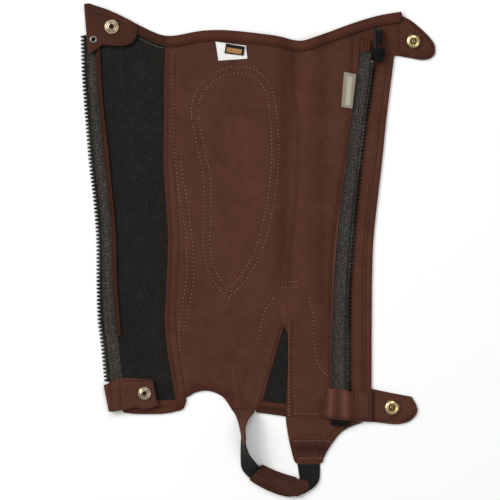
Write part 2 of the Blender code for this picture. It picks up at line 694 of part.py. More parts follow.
def build_fasteners():
    for name, x, y, radius, surface in SNAP_ROWS:
        base = surface + SEAM_GAP
        foot = surface - LEATHER + SEAM_GAP
        profile = [
            (0.0, foot), (SHANK_RADIUS, foot), (SHANK_RADIUS, base), (radius - 0.4, base), (radius, base + 0.6),
            (radius - 0.5, base + 1.5), (radius * 0.72, base + 2.3), (radius * 0.5, base + 2.5),
            (radius * 0.36, base + 2.1), (radius * 0.3, base + 1.1), (0.0, base + 1.1),
        ]
        turned(name, BRASS, (x, y), profile, closed=False)
    base = SECOND_LAYER + LEATHER + SEAM_GAP
    foot = SECOND_LAYER + 0.2
    profile = [
        (EYELET_BORE, foot), (EYELET_TUBE, foot), (EYELET_TUBE, base), (EYELET_RADIUS, base),
        (EYELET_RADIUS - 0.2, base + 0.7), (EYELET_RADIUS - 1.3, base + 1.1), (EYELET_BORE + 0.4, base + 0.9),
        (EYELET_BORE, base + 0.3),
    ]
    turned("eyelet", BRASS, EYELET_CENTRE, profile, closed=True)


def prism(name, finish, outline, plane, low, high, pivot=Vector((0.0, 0.0, 0.0)), turn=0.0):
    """An outline pushed from low to high: across the yz plane along x, or across the xy plane along z."""
    points = []
    for depth in (low, high):
        for a, b in outline:
            points.append(Vector((depth, a, b)) if plane == "yz" else Vector((a, b, depth)))
    if turn:
        points = [pivot + turned_down(p, turn) for p in points]
    count = len(outline)
    faces = [tuple(range(count)), tuple(range(2 * count - 1, count - 1, -1))]
    faces += [(i, (i + 1) % count, count + (i + 1) % count, count + i) for i in range(count)]
    return make_solid(name, finish, points, faces, pivot)


def turned_down(point, angle):
    """The point turned about the x axis, its far end going down."""
    sine, cosine = math.sin(angle), math.cos(angle)
    return Vector((point.x, point.y * cosine + point.z * sine, point.z * cosine - point.y * sine))


def build_slider():
    x, y = SLIDER_CENTRE
    half, crown, tail = SLIDER_LENGTH / 2, SLIDER_CROWN / 2, SLIDER_TAIL / 2
    plate = [
        (x - crown + 2.2, y + half), (x - crown, y + half - 2.6), (x - crown + 0.2, y + 1.0), (x - tail, y - half + 1.8),
        (x - tail + 1.8, y - half), (x + tail - 1.8, y - half), (x + tail, y - half + 1.8),
        (x + crown - 0.2, y + 1.0), (x + crown, y + half - 2.6), (x + crown - 2.2, y + half),
    ]
    slider = prism("zip_slider", PLASTIC, plate, "xy", SLIDER_BOTTOM, SLIDER_BOTTOM + PLATE)
    cover = prism("slider_cover", PLASTIC, plate, "xy", CHANNEL_TOP, SLIDER_TOP)
    inside = 0.3
    post_outline = [(x - 0.8, y + 1.0), (x + 0.8, y + 1.0), (x + 1.5, y + 6.9), (x - 1.0, y + 6.9)]
    post = prism("slider_post", PLASTIC, post_outline, "xy", SLIDER_BOTTOM + inside, SLIDER_TOP - inside)
    edge = [(x + tail - 0.2, y - 5.6), (x + tail + 0.6, y - 5.6), (x + crown - 0.5, y + 1.6), (x + crown - 0.3, y + 4.6)]
    edge += [(x + crown - 1.2, y + 4.6)]
    low_edge = prism("slider_low_edge", PLASTIC, edge, "xy", SLIDER_BOTTOM + inside, SLIDER_BOTTOM + PLATE + 1.0)
    high_edge = prism("slider_high_edge", PLASTIC, edge, "xy", CHANNEL_TOP - 0.9, SLIDER_TOP - inside)
    axis_y, axis_z = HINGE.y, HINGE.z
    sink = SLIDER_TOP - inside
    arch = [
        (axis_y + 2.7, sink), (axis_y + 2.7, axis_z + 1.6), (axis_y + 1.6, axis_z + 2.7), (axis_y - 3.0, axis_z + 2.7),
        (axis_y - 4.6, axis_z + 1.0), (axis_y - 4.6, sink), (axis_y - 3.2, sink), (axis_y - 3.2, axis_z + 0.5),
        (axis_y - 2.3, axis_z + 1.4), (axis_y + 1.4, axis_z + 1.4), (axis_y + 1.4, sink),
    ]
    bridge = prism("slider_bridge", PLASTIC, arch, "yz", HINGE.x - BRIDGE_WIDTH / 2, HINGE.x + BRIDGE_WIDTH / 2)
    join(slider, [cover, post, low_edge, high_edge, bridge])


def build_pull():
    """The pull tab: its cross bar lies on the hinge, its window straddles the bridge, its tip rests low."""
    half, neck, thick = PULL_WIDTH / 2, PULL_NECK / 2, PULL_THICK / 2
    nose = [(half * math.cos(a), PULL_LENGTH - half + half * math.sin(a)) for a in run(0.0, math.pi, math.pi / 8)]
    blade = [(neck, -thick), (neck, 7.0)] + nose + [(-neck, 7.0), (-neck, -thick)]
    pull = prism("pull_tab", PLASTIC, blade, "xy", -thick, thick, pivot=HINGE, turn=PULL_TILT)
    window = [(-PULL_WINDOW[0], thick), (PULL_WINDOW[0], thick), (PULL_WINDOW[0], PULL_WINDOW[1])]
    window += [(-PULL_WINDOW[0], PULL_WINDOW[1])]
    cutter = prism("pull_window", PLASTIC, window, "xy", -thick * 2, thick * 2, pivot=HINGE, turn=PULL_TILT)
    cut = pull.modifiers.new("window", "BOOLEAN")
    cut.operation = "DIFFERENCE"
    cut.solver = "EXACT"
    cut.object = cutter
    cutter.hide_render = True
    cutter.display_type = "WIRE"


def centre_on_origin():
    """Stands the whole part on the origin: the middle of its box across, its lowest point at zero."""
    shown = [thing for thing in bpy.data.objects if thing.type == "MESH" and not thing.hide_render]
    corners = [thing.matrix_world @ Vector(corner) for thing in shown for corner in thing.bound_box]
    shift = Vector((
        -(min(c.x for c in corners) + max(c.x for c in corners)) / 2,
        -(min(c.y for c in corners) + max(c.y for c in corners)) / 2,
        -min(c.z for c in corners),
    ))
    for thing in bpy.data.objects:
        thing.location += shift


clear_scene()
build_panels()
build_stretch_side()
build_zip_side()
build_right_tabs()
build_left_tabs()
build_labels()
ribbon("strap_tongue", SUEDE, TONGUE_ROWS, LEATHER)
ribbon("stirrup_strap", ELASTIC, STRAP_ROWS, STRAP)
build_sleeve()
build_fasteners()
build_slider()
build_pull()
bpy.context.view_layer.update()
centre_on_origin()
bpy.context.view_layer.update()
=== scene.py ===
# One half chap, unzipped and laid open flat with its inside face up: cloth shells, sewing, zip, snaps, labels
import math

import bmesh
import bpy
import numpy as np
from mathutils import Matrix, Vector, noise
from mathutils.bvhtree import BVHTree
from mathutils.geometry import delaunay_2d_cdt
from mathutils.kdtree import KDTree


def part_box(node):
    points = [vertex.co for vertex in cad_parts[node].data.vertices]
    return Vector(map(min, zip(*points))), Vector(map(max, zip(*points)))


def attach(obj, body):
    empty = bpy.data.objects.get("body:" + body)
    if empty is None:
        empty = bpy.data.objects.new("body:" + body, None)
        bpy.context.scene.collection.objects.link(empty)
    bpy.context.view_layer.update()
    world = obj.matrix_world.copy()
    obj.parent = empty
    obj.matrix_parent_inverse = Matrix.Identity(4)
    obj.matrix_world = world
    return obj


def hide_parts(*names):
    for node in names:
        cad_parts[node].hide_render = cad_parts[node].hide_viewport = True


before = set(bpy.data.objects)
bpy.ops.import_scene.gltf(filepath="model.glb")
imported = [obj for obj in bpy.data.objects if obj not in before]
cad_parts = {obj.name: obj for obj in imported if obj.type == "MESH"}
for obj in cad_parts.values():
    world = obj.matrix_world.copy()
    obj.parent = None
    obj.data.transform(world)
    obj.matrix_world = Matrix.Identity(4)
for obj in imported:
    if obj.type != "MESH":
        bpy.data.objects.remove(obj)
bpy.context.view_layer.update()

mm = 0.001
tableShift = np.array((0.221, 0.357))    # the part's tables were centred on the origin by this much, in mm


# node trees: shader maths as expressions, other nodes through one method

class Value:
    def __init__(self, graph, socket):
        self.graph, self.socket = graph, socket

    def math(self, operation, *values):
        return self.graph.node("ShaderNodeMath", {"operation": operation}, dict(enumerate(values)))

    def __neg__(self):
        return self * -1.0

    def sine(self):
        return self.math("SINE", self)

    def size(self):
        return self.math("ABSOLUTE", self)

    def ramp(self, low, high):
        # 0 below low, 1 above high, smooth between
        return self.graph.node("ShaderNodeMapRange", {"interpolation_type": "SMOOTHSTEP"},
                               {"Value": self, "From Min": low, "From Max": high})


for sign, operation in (("add", "ADD"), ("sub", "SUBTRACT"), ("mul", "MULTIPLY")):
    setattr(Value, f"__{sign}__", lambda self, other, kind=operation: self.math(kind, self, other))
    setattr(Value, f"__r{sign}__", lambda self, other, kind=operation: self.math(kind, other, self))


class Graph:
    def __init__(self, tree):
        self.tree = tree

    def node(self, kind, settings=None, sockets=None, out=0):
        made = self.tree.nodes.new(kind)
        for key, value in (settings or {}).items():
            setattr(made, key, value)
        for key, value in (sockets or {}).items():
            if isinstance(value, Value):
                self.tree.links.new(value.socket, made.inputs[key])
            else:
                made.inputs[key].default_value = value
        return Value(self, made.outputs[out])


class Finish(Graph):
    # a material under construction; its name is a maker's word for the stuff
    def __init__(self, name, **fixed):
        self.material = bpy.data.materials.new(name)
        self.material.use_nodes = True
        super().__init__(self.material.node_tree)
        self.shader = self.tree.nodes["Principled BSDF"]
        for key, value in fixed.items():
            self.shader.inputs[key.replace("_", " ")].default_value = value
        self.place = self.node("ShaderNodeTexCoord", out="Object")

    def feed(self, **links):
        for key, value in links.items():
            self.tree.links.new(value.socket, self.shader.inputs[key.replace("_", " ")])
        return self.material

    def scaled(self, x, y, z=1.0):
        return self.node("ShaderNodeMapping", {}, {"Vector": self.place, "Scale": (x, y, z)})

    def speckle(self, scale, detail=2.0, roughness=0.5, vector=None, distortion=0.0):
        sockets = {"Vector": vector or self.place, "Scale": scale, "Detail": detail, "Roughness": roughness,
                   "Distortion": distortion}
        return self.node("ShaderNodeTexNoise", {}, sockets)

    def part(self, name):
        # a value stored on the piece's own points
        return self.node("ShaderNodeAttribute", {"attribute_name": name}, out="Fac")

    def axis(self, name):
        return self.node("ShaderNodeSeparateXYZ", {}, {"Vector": self.place}, out=name)

    def mix(self, factor, first, second):
        sockets = {0: factor}
        for key, value in ((6, first), (7, second)):
            sockets[key] = value if isinstance(value, Value) else (*value, 1.0)
        return self.node("ShaderNodeMix", {"data_type": "RGBA"}, sockets, out=2)

    def bump(self, height, distance, strength=1.0):
        return self.node("ShaderNodeBump", {}, {"Height": height, "Distance": distance, "Strength": strength})


# finishes

leather = {
    "base": (0.0700, 0.0250, 0.0150),
    "dark": (0.0470, 0.0160, 0.0095),
    "light": (0.0950, 0.0370, 0.0235),
    "red": (0.0760, 0.0205, 0.0125),
    # pale colour for painted highlights and rubbed nap
    "worn": (0.1450, 0.0620, 0.0420),
    "edge": (0.0230, 0.0085, 0.0055),
    "deep": (0.0250, 0.0105, 0.0066),
    "napScale": 900.0,
    "cloudScale": 16.0,
    # how far each of them takes the colour: the hide's own marks, a painted shade towards the knee end, then those
    # stored on a piece, among them painted highlight and painted shade
    "cloud": 0.75, "blotch": 0.35, "nap": 0.55, "brushed": 0.30, "knee": 0.38,
    "tinted": 0.60, "rubAndHighlight": 0.55, "shaded": 0.60, "sewn": 0.30, "rim": 0.32, "creaseShade": 0.50,
}


def suedeFinish(name, redness):
    f = Finish(name, Specular_IOR_Level=0.10, Sheen_Weight=0.06, Sheen_Roughness=0.5)
    f.shader.inputs["Sheen Tint"].default_value = (0.80, 0.45, 0.34, 1.0)
    nap = f.speckle(leather["napScale"], 3.0, 0.65)
    brushed = f.speckle(1.0, 3.0, 0.6, f.scaled(380.0, 150.0, 300.0))
    cloud = f.speckle(leather["cloudScale"], 3.0, 0.6, distortion=0.8)
    blotch = f.speckle(95.0, 2.0, 0.5)
    colour = f.mix(cloud.ramp(0.28, 0.74) * leather["cloud"], leather["base"], leather["light"])
    colour = f.mix((1 - blotch.ramp(0.30, 0.60)) * leather["blotch"], colour, leather["dark"])
    colour = f.mix((1 - nap.ramp(0.25, 0.62)) * leather["nap"], colour, leather["dark"])
    colour = f.mix(brushed.ramp(0.52, 0.80) * leather["brushed"], colour, leather["light"])
    colour = f.mix(f.axis("Y").ramp(0.10, 0.27) * leather["knee"], colour, leather["dark"])    # painted shade, darker towards the knee end
    colour = f.mix(f.part("tint") * leather["tinted"] + redness, colour, leather["red"])
    # pale: painted highlight on ridges, steps and raised edges, partly lighter rubbed nap
    colour = f.mix(f.part("pale") * leather["rubAndHighlight"], colour, leather["worn"])
    # shade: painted shade where the leather lies in shadow, partly a darker tone of the leather
    colour = f.mix(f.part("shade") * leather["shaded"], colour, leather["deep"])
    # darker in the creases and along the sewn rows, painted shade in their grooves, partly darker pressed leather; and
    # darker cut edges
    lines = f.part("seam") * leather["sewn"] + f.part("edge") * leather["rim"] + f.part("crease") * leather["creaseShade"]
    colour = f.mix(lines, colour, leather["edge"])
    height = nap * 0.5 + brushed * 0.35 + blotch * 0.9
    return f.feed(Base_Color=colour, Roughness=0.82 + nap * 0.16, Normal=f.bump(height, 0.00028, 0.75))


knit = {
    "base": (0.0088, 0.0084, 0.0074),
    "fleck": (0.0330, 0.0325, 0.0280),
    "ribPitch": 1.5 * mm,
    "coursePitch": 1.1 * mm,
    "waver": 1.6,
    "flecked": 0.50, "patched": 0.12, "ribbed": 0.10, "rim": 0.5,
    "rimColour": (0.008, 0.008, 0.008),
}


def knitFinish(name):
    f = Finish(name, Specular_IOR_Level=0.08, Sheen_Weight=0.06, Sheen_Roughness=0.5)
    f.shader.inputs["Sheen Tint"].default_value = (0.80, 0.78, 0.70, 1.0)
    waver = f.speckle(70.0, 2.0) * knit["waver"]
    ribs = (f.axis("X") * (math.tau / knit["ribPitch"]) + waver).sine()
    courses = (f.axis("Y") * (math.tau / knit["coursePitch"]) + ribs * 1.2).sine()
    fleck = f.speckle(1.0, 3.0, 0.7, f.scaled(420.0, 300.0, 300.0))
    patch = f.speckle(48.0, 2.0)
    fuzz = f.speckle(1500.0, 2.0)
    tone = (fleck.ramp(0.50, 0.76) * knit["flecked"] + patch.ramp(0.40, 0.75) * knit["patched"]
            + ribs.ramp(0.2, 1.0) * knit["ribbed"])
    colour = f.mix(tone, knit["base"], knit["fleck"])
    # painted shade along the knit's edges, where it meets the seams
    colour = f.mix(f.part("edge") * knit["rim"], colour, knit["rimColour"])
    height = ribs * 0.5 + courses * 0.35 + fuzz * 0.5
    return f.feed(Base_Color=colour, Roughness=0.86 + fuzz * 0.12, Normal=f.bump(height, 0.00022, 0.8))


tapeLook = {
    "base": (0.0230, 0.0210, 0.0185),
    "pale": (0.0800, 0.0710, 0.0620),
    "dark": (0.0090, 0.0085, 0.0075),
    "line": (0.110, 0.100, 0.084),
    "lines": (0.0012, 0.0046, 0.0100, 0.0118),                  # metres from the sewn edge
    "lineWidth": (0.00042, 0.00016),
    "threadPitch": 1.0 * mm,
    "grained": 0.80, "woven": 0.35, "lined": 0.55, "rim": 0.7, "sewn": 0.25,
}


def tapeFinish(name):
    f = Finish(name, Specular_IOR_Level=0.12, Sheen_Weight=0.04, Sheen_Roughness=0.4)
    across = f.part("across")                                   # metres from the tape's sewn edge
    warp = (across * (math.tau / tapeLook["threadPitch"])).sine()
    weft = (f.axis("Y") * (math.tau / tapeLook["threadPitch"] / 0.8) + across * 3200.0).sine()
    grain = f.speckle(1.0, 3.0, 0.7, f.scaled(560.0, 300.0, 400.0))
    colour = f.mix(grain.ramp(0.47, 0.68) * tapeLook["grained"], tapeLook["base"], tapeLook["pale"])
    colour = f.mix(warp.ramp(0.1, 1.0) * weft.ramp(-0.2, 1.0) * tapeLook["woven"], colour, tapeLook["pale"])
    for place in tapeLook["lines"]:
        line = (across - place).size().ramp(*tapeLook["lineWidth"])
        colour = f.mix(line * grain.ramp(0.30, 0.55) * tapeLook["lined"], colour, tapeLook["line"])
    # darker edges, and darker along the sewn row as painted shade in its stitch groove
    rim = f.part("edge") * tapeLook["rim"] + f.part("seam") * tapeLook["sewn"]
    colour = f.mix(rim, colour, tapeLook["dark"])
    height = warp * 0.4 + weft * 0.4 + grain * 0.3
    return f.feed(Base_Color=colour, Roughness=0.72 + grain * 0.2, Normal=f.bump(height, 0.00018, 0.8))


plasticLook = {
    "coatRoughness": 0.12,
    "scuffed": 0.25,
    "rubPitch": 0.115,              # metres along the zip from one rubbed, brighter stretch to the next
    "rubRange": (-0.35, 0.55),
}


def plasticFinish(name, base, roughness, shine, polished=0.0):
    f = Finish(name, Specular_IOR_Level=shine, Coat_Roughness=plasticLook["coatRoughness"])
    scuff = f.speckle(1400.0, 2.0)
    smear = f.speckle(160.0, 3.0)
    colour = f.mix(scuff.ramp(0.45, 0.8) * plasticLook["scuffed"], base, tuple(3.0 * c for c in base))
    wave = (f.axis("Y") * (math.tau / plasticLook["rubPitch"]) + math.pi / 2).sine()
    return f.feed(Base_Color=colour, Roughness=roughness + smear * 0.18, Normal=f.bump(scuff, 0.00004, 0.5),
                  Coat_Weight=wave.ramp(*plasticLook["rubRange"]) * polished)


def metalFinish(name, pale, deep, roughness):
    f = Finish(name, Specular_IOR_Level=0.5)
    tarnish = f.speckle(260.0, 3.0, 0.6)
    brush = f.speckle(2600.0, 2.0)
    worn = f.part("shade")                                      # painted shade: 1 in the grooves, the hollows and under the rim
    colour = f.mix(tarnish.ramp(0.35, 0.75) * 0.25 + worn, pale, deep)
    return f.feed(Base_Color=colour, Metallic=1.0 - worn * 0.35, Roughness=roughness + tarnish * 0.12 + worn * 0.25,
                  Normal=f.bump(brush, 0.00002, 0.4))


def wovenFinish(name, ground, figure, threads=0.55 * mm):
    # figure(f, colour) paints what the weave shows over its plain ground
    f = Finish(name, Specular_IOR_Level=0.15)
    along, over = f.part("u"), f.part("v")                      # metres along and across the label
    warp = (along * (math.tau / threads)).sine()
    weft = (over * (math.tau / threads)).sine()
    fray = f.speckle(1300.0, 2.0)
    colour = figure(f, ground, along, over)
    colour = f.mix((1 - (warp * weft).ramp(-0.9, 0.6)) * 0.30, colour, tuple(0.45 * c for c in ground))
    colour = f.mix(f.part("edge") * 0.30, colour, tuple(0.5 * c for c in ground))
    return f.feed(Base_Color=colour, Roughness=0.62 + fray * 0.3,
                  Normal=f.bump(warp * 0.4 + weft * 0.4 + fray * 0.4, 0.00012, 0.8))


def threadFinish(name, base):
    f = Finish(name, Specular_IOR_Level=0.12)
    twist = f.speckle(1.0, 2.0, 0.5, f.scaled(1800.0, 900.0, 1200.0))
    colour = f.mix(twist.ramp(0.35, 0.7) * 0.5, base, tuple(0.55 * c for c in base))
    return f.feed(Base_Color=colour, Roughness=0.6 + twist * 0.25, Normal=f.bump(twist, 0.00006, 0.7))


def plainFigure(f, ground, along, over):
    return f.mix(f.speckle(300.0, 2.0).ramp(0.4, 0.7) * 0.12, ground, tuple(0.8 * c for c in ground))


figures = {
    # a woven figure's middle, outer and inner half size, across the label and then along it, in mm
    "strip": ((4.2, 2.8, 2.4), (10.2, 8.5, 8.0)),
    "band": ((6.6, 3.0, 2.0), (19.4, 16.0, 15.0)),
    "tickPitch": 1.9 * mm,
    "barPitch": 1.5 * mm,
    "amber": (0.34, 0.115, 0.018),
    "cream": (0.62, 0.46, 0.24),
    "sand": (0.52, 0.48, 0.39),
    "bandShare": 0.62,
}


def figureArea(name, along, over):
    shares = [(value - middle * mm).size().ramp(outer * mm, inner * mm)
              for value, (middle, outer, inner) in zip((over, along), figures[name])]
    return shares[0] * shares[1]


def stripFigure(f, ground, along, over):
    # a woven strip of amber and cream ticks, with no lettering
    ticks = (along * (math.tau / figures["tickPitch"])).sine().ramp(-0.3, 0.5)
    bars = (over * (math.tau / figures["barPitch"])).sine().ramp(-0.9, 0.2)
    amber = f.mix(ticks * bars, figures["amber"], figures["cream"])
    return f.mix(figureArea("strip", along, over), ground, amber)


def bandFigure(f, ground, along, over):
    return f.mix(figureArea("band", along, over) * figures["bandShare"], ground, figures["sand"])


finishes = {
    "suede": suedeFinish("suede", 0.0),
    "hem": suedeFinish("hemLeather", 0.38),
    "knit": knitFinish("stretchKnit"),
    "tape": tapeFinish("zipTape"),
    "teeth": plasticFinish("toothPlastic", (0.0055, 0.0055, 0.0050), 0.14, 0.10, 1.0),
    "enamel": plasticFinish("blackEnamel", (0.0030, 0.0030, 0.0032), 0.10, 0.18),
    "brass": metalFinish("paleBrass", (0.74, 0.56, 0.27), (0.030, 0.012, 0.003), 0.24),
    "silver": metalFinish("paleSteel", (0.74, 0.61, 0.43), (0.024, 0.010, 0.003), 0.26),
    "steel": metalFinish("greySteel", (0.22, 0.205, 0.185), (0.030, 0.024, 0.018), 0.30),
    "white": wovenFinish("whiteWeave", (0.88, 0.87, 0.84), plainFigure),
    "black": wovenFinish("blackWeave", (0.0080, 0.0065, 0.0055), stripFigure),
    "grey": wovenFinish("greyWeave", (0.275, 0.243, 0.190), bandFigure),
    "paleThread": threadFinish("paleThread", (0.285, 0.165, 0.125)),
    "brownThread": threadFinish("brownThread", (0.036, 0.0085, 0.0056)),
    "greyThread": threadFinish("greyThread", (0.135, 0.130, 0.110)),
}
print("finishes:", len(finishes))


# curves and outlines, in mm on the floor plane

def smoothPath(points, step):
    # a smooth curve through the points, as even steps
    keys = np.array(points, float)
    lengths = np.concatenate([[0.0], np.cumsum(np.linalg.norm(np.diff(keys, axis=0), axis=1))])
    slopes = np.gradient(keys, lengths, axis=0)
    at = np.linspace(0.0, lengths[-1], max(3, int(lengths[-1] / 0.5) + 1))
    i = np.clip(np.searchsorted(lengths, at, side="right") - 1, 0, len(keys) - 2)
    span = (lengths[i + 1] - lengths[i])[:, None]
    u = (at - lengths[i])[:, None] / span
    fine = ((2 * u ** 3 - 3 * u ** 2 + 1) * keys[i] + (u ** 3 - 2 * u ** 2 + u) * span * slopes[i]
            + (3 * u ** 2 - 2 * u ** 3) * keys[i + 1] + (u ** 3 - u ** 2) * span * slopes[i + 1])
    return evenPath(fine, step)


def evenPath(points, step):
    points = np.asarray(points, float)
    lengths = np.concatenate([[0.0], np.cumsum(np.linalg.norm(np.diff(points, axis=0), axis=1))])
    at = np.linspace(0.0, lengths[-1], max(2, int(round(lengths[-1] / step)) + 1))
    return np.stack([np.interp(at, lengths, points[:, axis]) for axis in range(points.shape[1])], 1)


def shifted(points, amount):
    # the path moved to its left by an amount
    points = np.asarray(points, float)
    travel = np.gradient(points, axis=0)
    travel /= np.linalg.norm(travel, axis=1)[:, None]
    return points + np.stack([-travel[:, 1], travel[:, 0]], 1) * amount


def drawnIn(loop, amount):
    # a closed outline with its inside on the left, moved inwards
    before = loop - np.roll(loop, 1, 0)
    after = np.roll(loop, -1, 0) - loop
    before /= np.linalg.norm(before, axis=1)[:, None]
    after /= np.linalg.norm(after, axis=1)[:, None]
    inward = np.stack([-(before + after)[:, 1], (before + after)[:, 0]], 1)
    inward /= np.maximum(np.linalg.norm(inward, axis=1), 1e-6)[:, None]
    reach = np.maximum(0.45, inward[:, 0] * -after[:, 1] + inward[:, 1] * after[:, 0])
    return loop + inward * (amount / reach)[:, None]


def room(loop, loops, amount):
    # how much of an inward shift each point has space for, where the cloth runs narrow
    tangent = np.roll(loop, -1, 0) - np.roll(loop, 1, 0)
    inward = np.stack([-tangent[:, 1], tangent[:, 0]], 1) / np.maximum(np.linalg.norm(tangent, axis=1), 1e-9)[:, None]
    along = np.concatenate([np.roll(other, -1, 0) - other for other in loops])[None, :, :]
    gap = np.concatenate(loops)[None, :, :] - loop[:, None, :]
    cross = inward[:, None, 0] * along[..., 1] - inward[:, None, 1] * along[..., 0]
    cross = np.where(np.abs(cross) < 1e-9, 1e-9, cross)
    ray = (gap[..., 0] * along[..., 1] - gap[..., 1] * along[..., 0]) / cross
    part = (gap[..., 0] * inward[:, None, 1] - gap[..., 1] * inward[:, None, 0]) / cross
    width = np.where((ray > 1e-3) & (part >= 0) & (part <= 1), ray, 1e3).min(1)
    width = np.minimum(width, np.minimum(np.roll(width, 1), np.roll(width, -1)))
    return np.minimum(1.0, 0.28 * width / amount)


def turns(loop):
    before = loop - np.roll(loop, 1, 0)
    after = np.roll(loop, -1, 0) - loop
    cross = before[:, 0] * after[:, 1] - before[:, 1] * after[:, 0]
    return np.degrees(np.arctan2(cross, (before * after).sum(1)))


def smoothLoop(loop, step, corner=30.0):
    # a rough closed outline made smooth between its corners
    loop = np.asarray(loop, float)
    for _ in range(3):
        before, after = np.roll(loop, 1, 0), np.roll(loop, -1, 0)
        chord = after - before
        off = np.abs(chord[:, 0] * (loop - before)[:, 1] - chord[:, 1] * (loop - before)[:, 0])
        off /= np.maximum(np.linalg.norm(chord, axis=1), 1e-9)
        close = np.linalg.norm(loop - before, axis=1) < 0.12
        drop = (off < 0.02) | close
        drop[1:] &= ~drop[:-1]                     # no two neighbours go in one pass
        drop[0] = False
        if not drop.any():
            break
        loop = loop[~drop]
    corners = np.flatnonzero(np.abs(turns(loop)) > corner)
    if len(corners) == 0:
        around = np.concatenate([loop[-3:], loop, loop[:4]])
        path = smoothPath(around, 0.25)
        start = np.argmin(np.linalg.norm(path[:len(path) // 2] - loop[0], axis=1))
        stop = len(path) // 2 + np.argmin(np.linalg.norm(path[len(path) // 2:] - loop[0], axis=1))
        return evenPath(path[start:stop + 1], step)[:-1]
    loop = np.roll(loop, -corners[0], 0)
    corners = list(corners - corners[0]) + [len(loop)]
    loop = np.concatenate([loop, loop[:1]])
    runs = [smoothPath(loop[a:b + 1], step) for a, b in zip(corners, corners[1:])]
    return np.concatenate([part[:-1] for part in runs])


def treeOf(points):
    tree = KDTree(len(points))
    for i, p in enumerate(points):
        tree.insert((p[0], p[1], 0.0), i)
    tree.balance()
    return tree


def distanceTo(tree, points):
    return np.array([tree.find((p[0], p[1], 0.0))[2] for p in points])


def inside(points, loops):
    within = np.zeros(len(points), bool)
    for loop in loops:
        a, b = loop, np.roll(loop, -1, 0)
        for (ax, ay), (bx, by) in zip(a, b):
            if ay == by:
                continue
            span = (points[:, 1] < ay) != (points[:, 1] < by)
            within ^= span & (points[:, 0] < (bx - ax) * (points[:, 1] - ay) / (by - ay) + ax)
    return within


# where the long seams and the upper edge run, as in the part's source

seamColumns = ("y", "leftTeeth", "leftTape", "piping", "panel", "facing", "rightTape", "rightTeeth", "guard")
seamRows = [
    (272, -195.6, -180.0, -175.5, -101.0, 102.6, 117.0, 136.0, 156.0),
    (235, -195.3, -178.2, -173.8, -102.0, 101.8, 113.3, 132.3, 152.4),
    (187, -193.6, -177.1, -172.2, -103.4, 101.2, 108.7, 128.2, 146.5),
    (143, -190.3, -173.3, -168.3, -103.6, 98.2, 102.5, 121.6, 141.1),
    (99, -186.7, -169.4, -163.4, -104.0, 94.1, 97.7, 116.1, 136.6),
    (55, -181.5, -163.9, -159.5, -101.8, 87.5, 91.3, 111.1, 131.5),
    (11, -178.2, -160.9, -155.7, -99.2, 81.4, 87.1, 107.3, 126.9),
    (-33, -177.8, -160.0, -155.1, -100.7, 78.7, 83.9, 104.0, 125.4),
    (-77, -176.6, -156.8, -151.8, -102.7, 78.1, 82.0, 102.9, 125.0),
    (-110, -172.7, -152.9, -149.5, -100.1, 78.1, 81.4, 102.9, 124.9),
    (-143, -169.4, -149.6, -146.0, -94.6, 78.1, 81.4, 102.9, 124.9),
    (-190, -164.0, -146.0, -142.0, -86.0, 78.1, 81.4, 102.9, 124.9),
]
rimRows = [
    (-191, 271.6), (-168, 265.1), (-146, 255.2), (-131, 247.3), (-119, 241.5), (-108, 236.7), (-97, 235.4),
    (-86, 236.5), (-64, 240.7), (-42, 241.8), (-20, 240.4), (2, 237.6), (24, 234.3), (46, 229.9),
    (68, 236.0), (90, 244.2), (112, 251.9), (134, 258.0), (157.5, 262.0),
]


def seamX(column, y):
    i = seamColumns.index(column)
    dense = smoothPath([(row[i], row[0]) for row in seamRows], 1.0)[::-1]
    return np.interp(y - tableShift[1], dense[:, 1], dense[:, 0]) + tableShift[0]


def seamLine(column, top, bottom, shift=0.0, step=2.0):
    y = np.linspace(top, bottom, max(2, int(abs(top - bottom) / step) + 1))
    return np.stack([seamX(column, y) + shift, y], 1)


def rimLine(left, right, drop):
    dense = smoothPath(rimRows, 1.0)
    x = np.linspace(left, right, int((right - left) / 2.0) + 1)
    return np.stack([x, np.interp(x - tableShift[0], dense[:, 0], dense[:, 1]) + tableShift[1] - drop], 1)


# the lie of the leather: the shin folds, and softer creases over the same field

folds = {
    "columns": ("topX", "topY", "lowX", "lowY", "rise", "reachLeft", "reachRight"),
    "rows": [(20, 240, 13, -40, 5.0, 48, 21), (59, 240, 52, -40, 4.2, 18, 25)],
    "low": -80.0,
    "fade": 60.0,
}
creases = {
    "columns": ("fromX", "fromY", "toX", "toY", "rise", "reach"),
    "rows": [
        (-20.0, -140.0, 26.0, -60.0, 0.9, 9.0),
        (-62.0, -128.0, -20.0, -104.0, 0.7, 12.0),
        (-84.0, -96.0, -70.0, 40.0, 0.7, 8.0),
        (64.0, -120.0, 66.0, 30.0, 0.8, 9.0),
        (-52.0, 206.0, -66.0, 120.0, 0.6, 10.0),
        (47.0, -90.0, 49.0, -160.0, 0.6, 6.0),
        (-30.0, 120.0, -24.0, -10.0, 0.5, 22.0),
        (85.0, 206.0, 78.0, 120.0, 0.7, 8.0),
    ],
    "waves": [(62.0, 0.45, 3.7), (24.0, 0.20, 8.1)],      # size, rise, seed
    "calm": (-97.0, -70.0, 66.0, 76.0, -150.0, -118.0),    # full between the middle values, none past the outer ones
}


def ease(value, low, high):
    t = np.clip((value - low) / (high - low), 0.0, 1.0)
    return t * t * (3 - 2 * t)


def foldLift(p):
    x, y = p[:, 0] - tableShift[0], p[:, 1] - tableShift[1]
    lift = np.zeros(len(p))
    for topX, topY, lowX, lowY, rise, reachLeft, reachRight in folds["rows"]:
        offset = x - (lowX + (topX - lowX) * (y - lowY) / (topY - lowY))
        reach = np.where(offset < 0, reachLeft, reachRight)
        bell = np.cos(0.5 * math.pi * np.clip(offset / reach, -1, 1)) ** 2
        lift += rise * ease(y, folds["low"], folds["low"] + folds["fade"]) * bell
    return lift


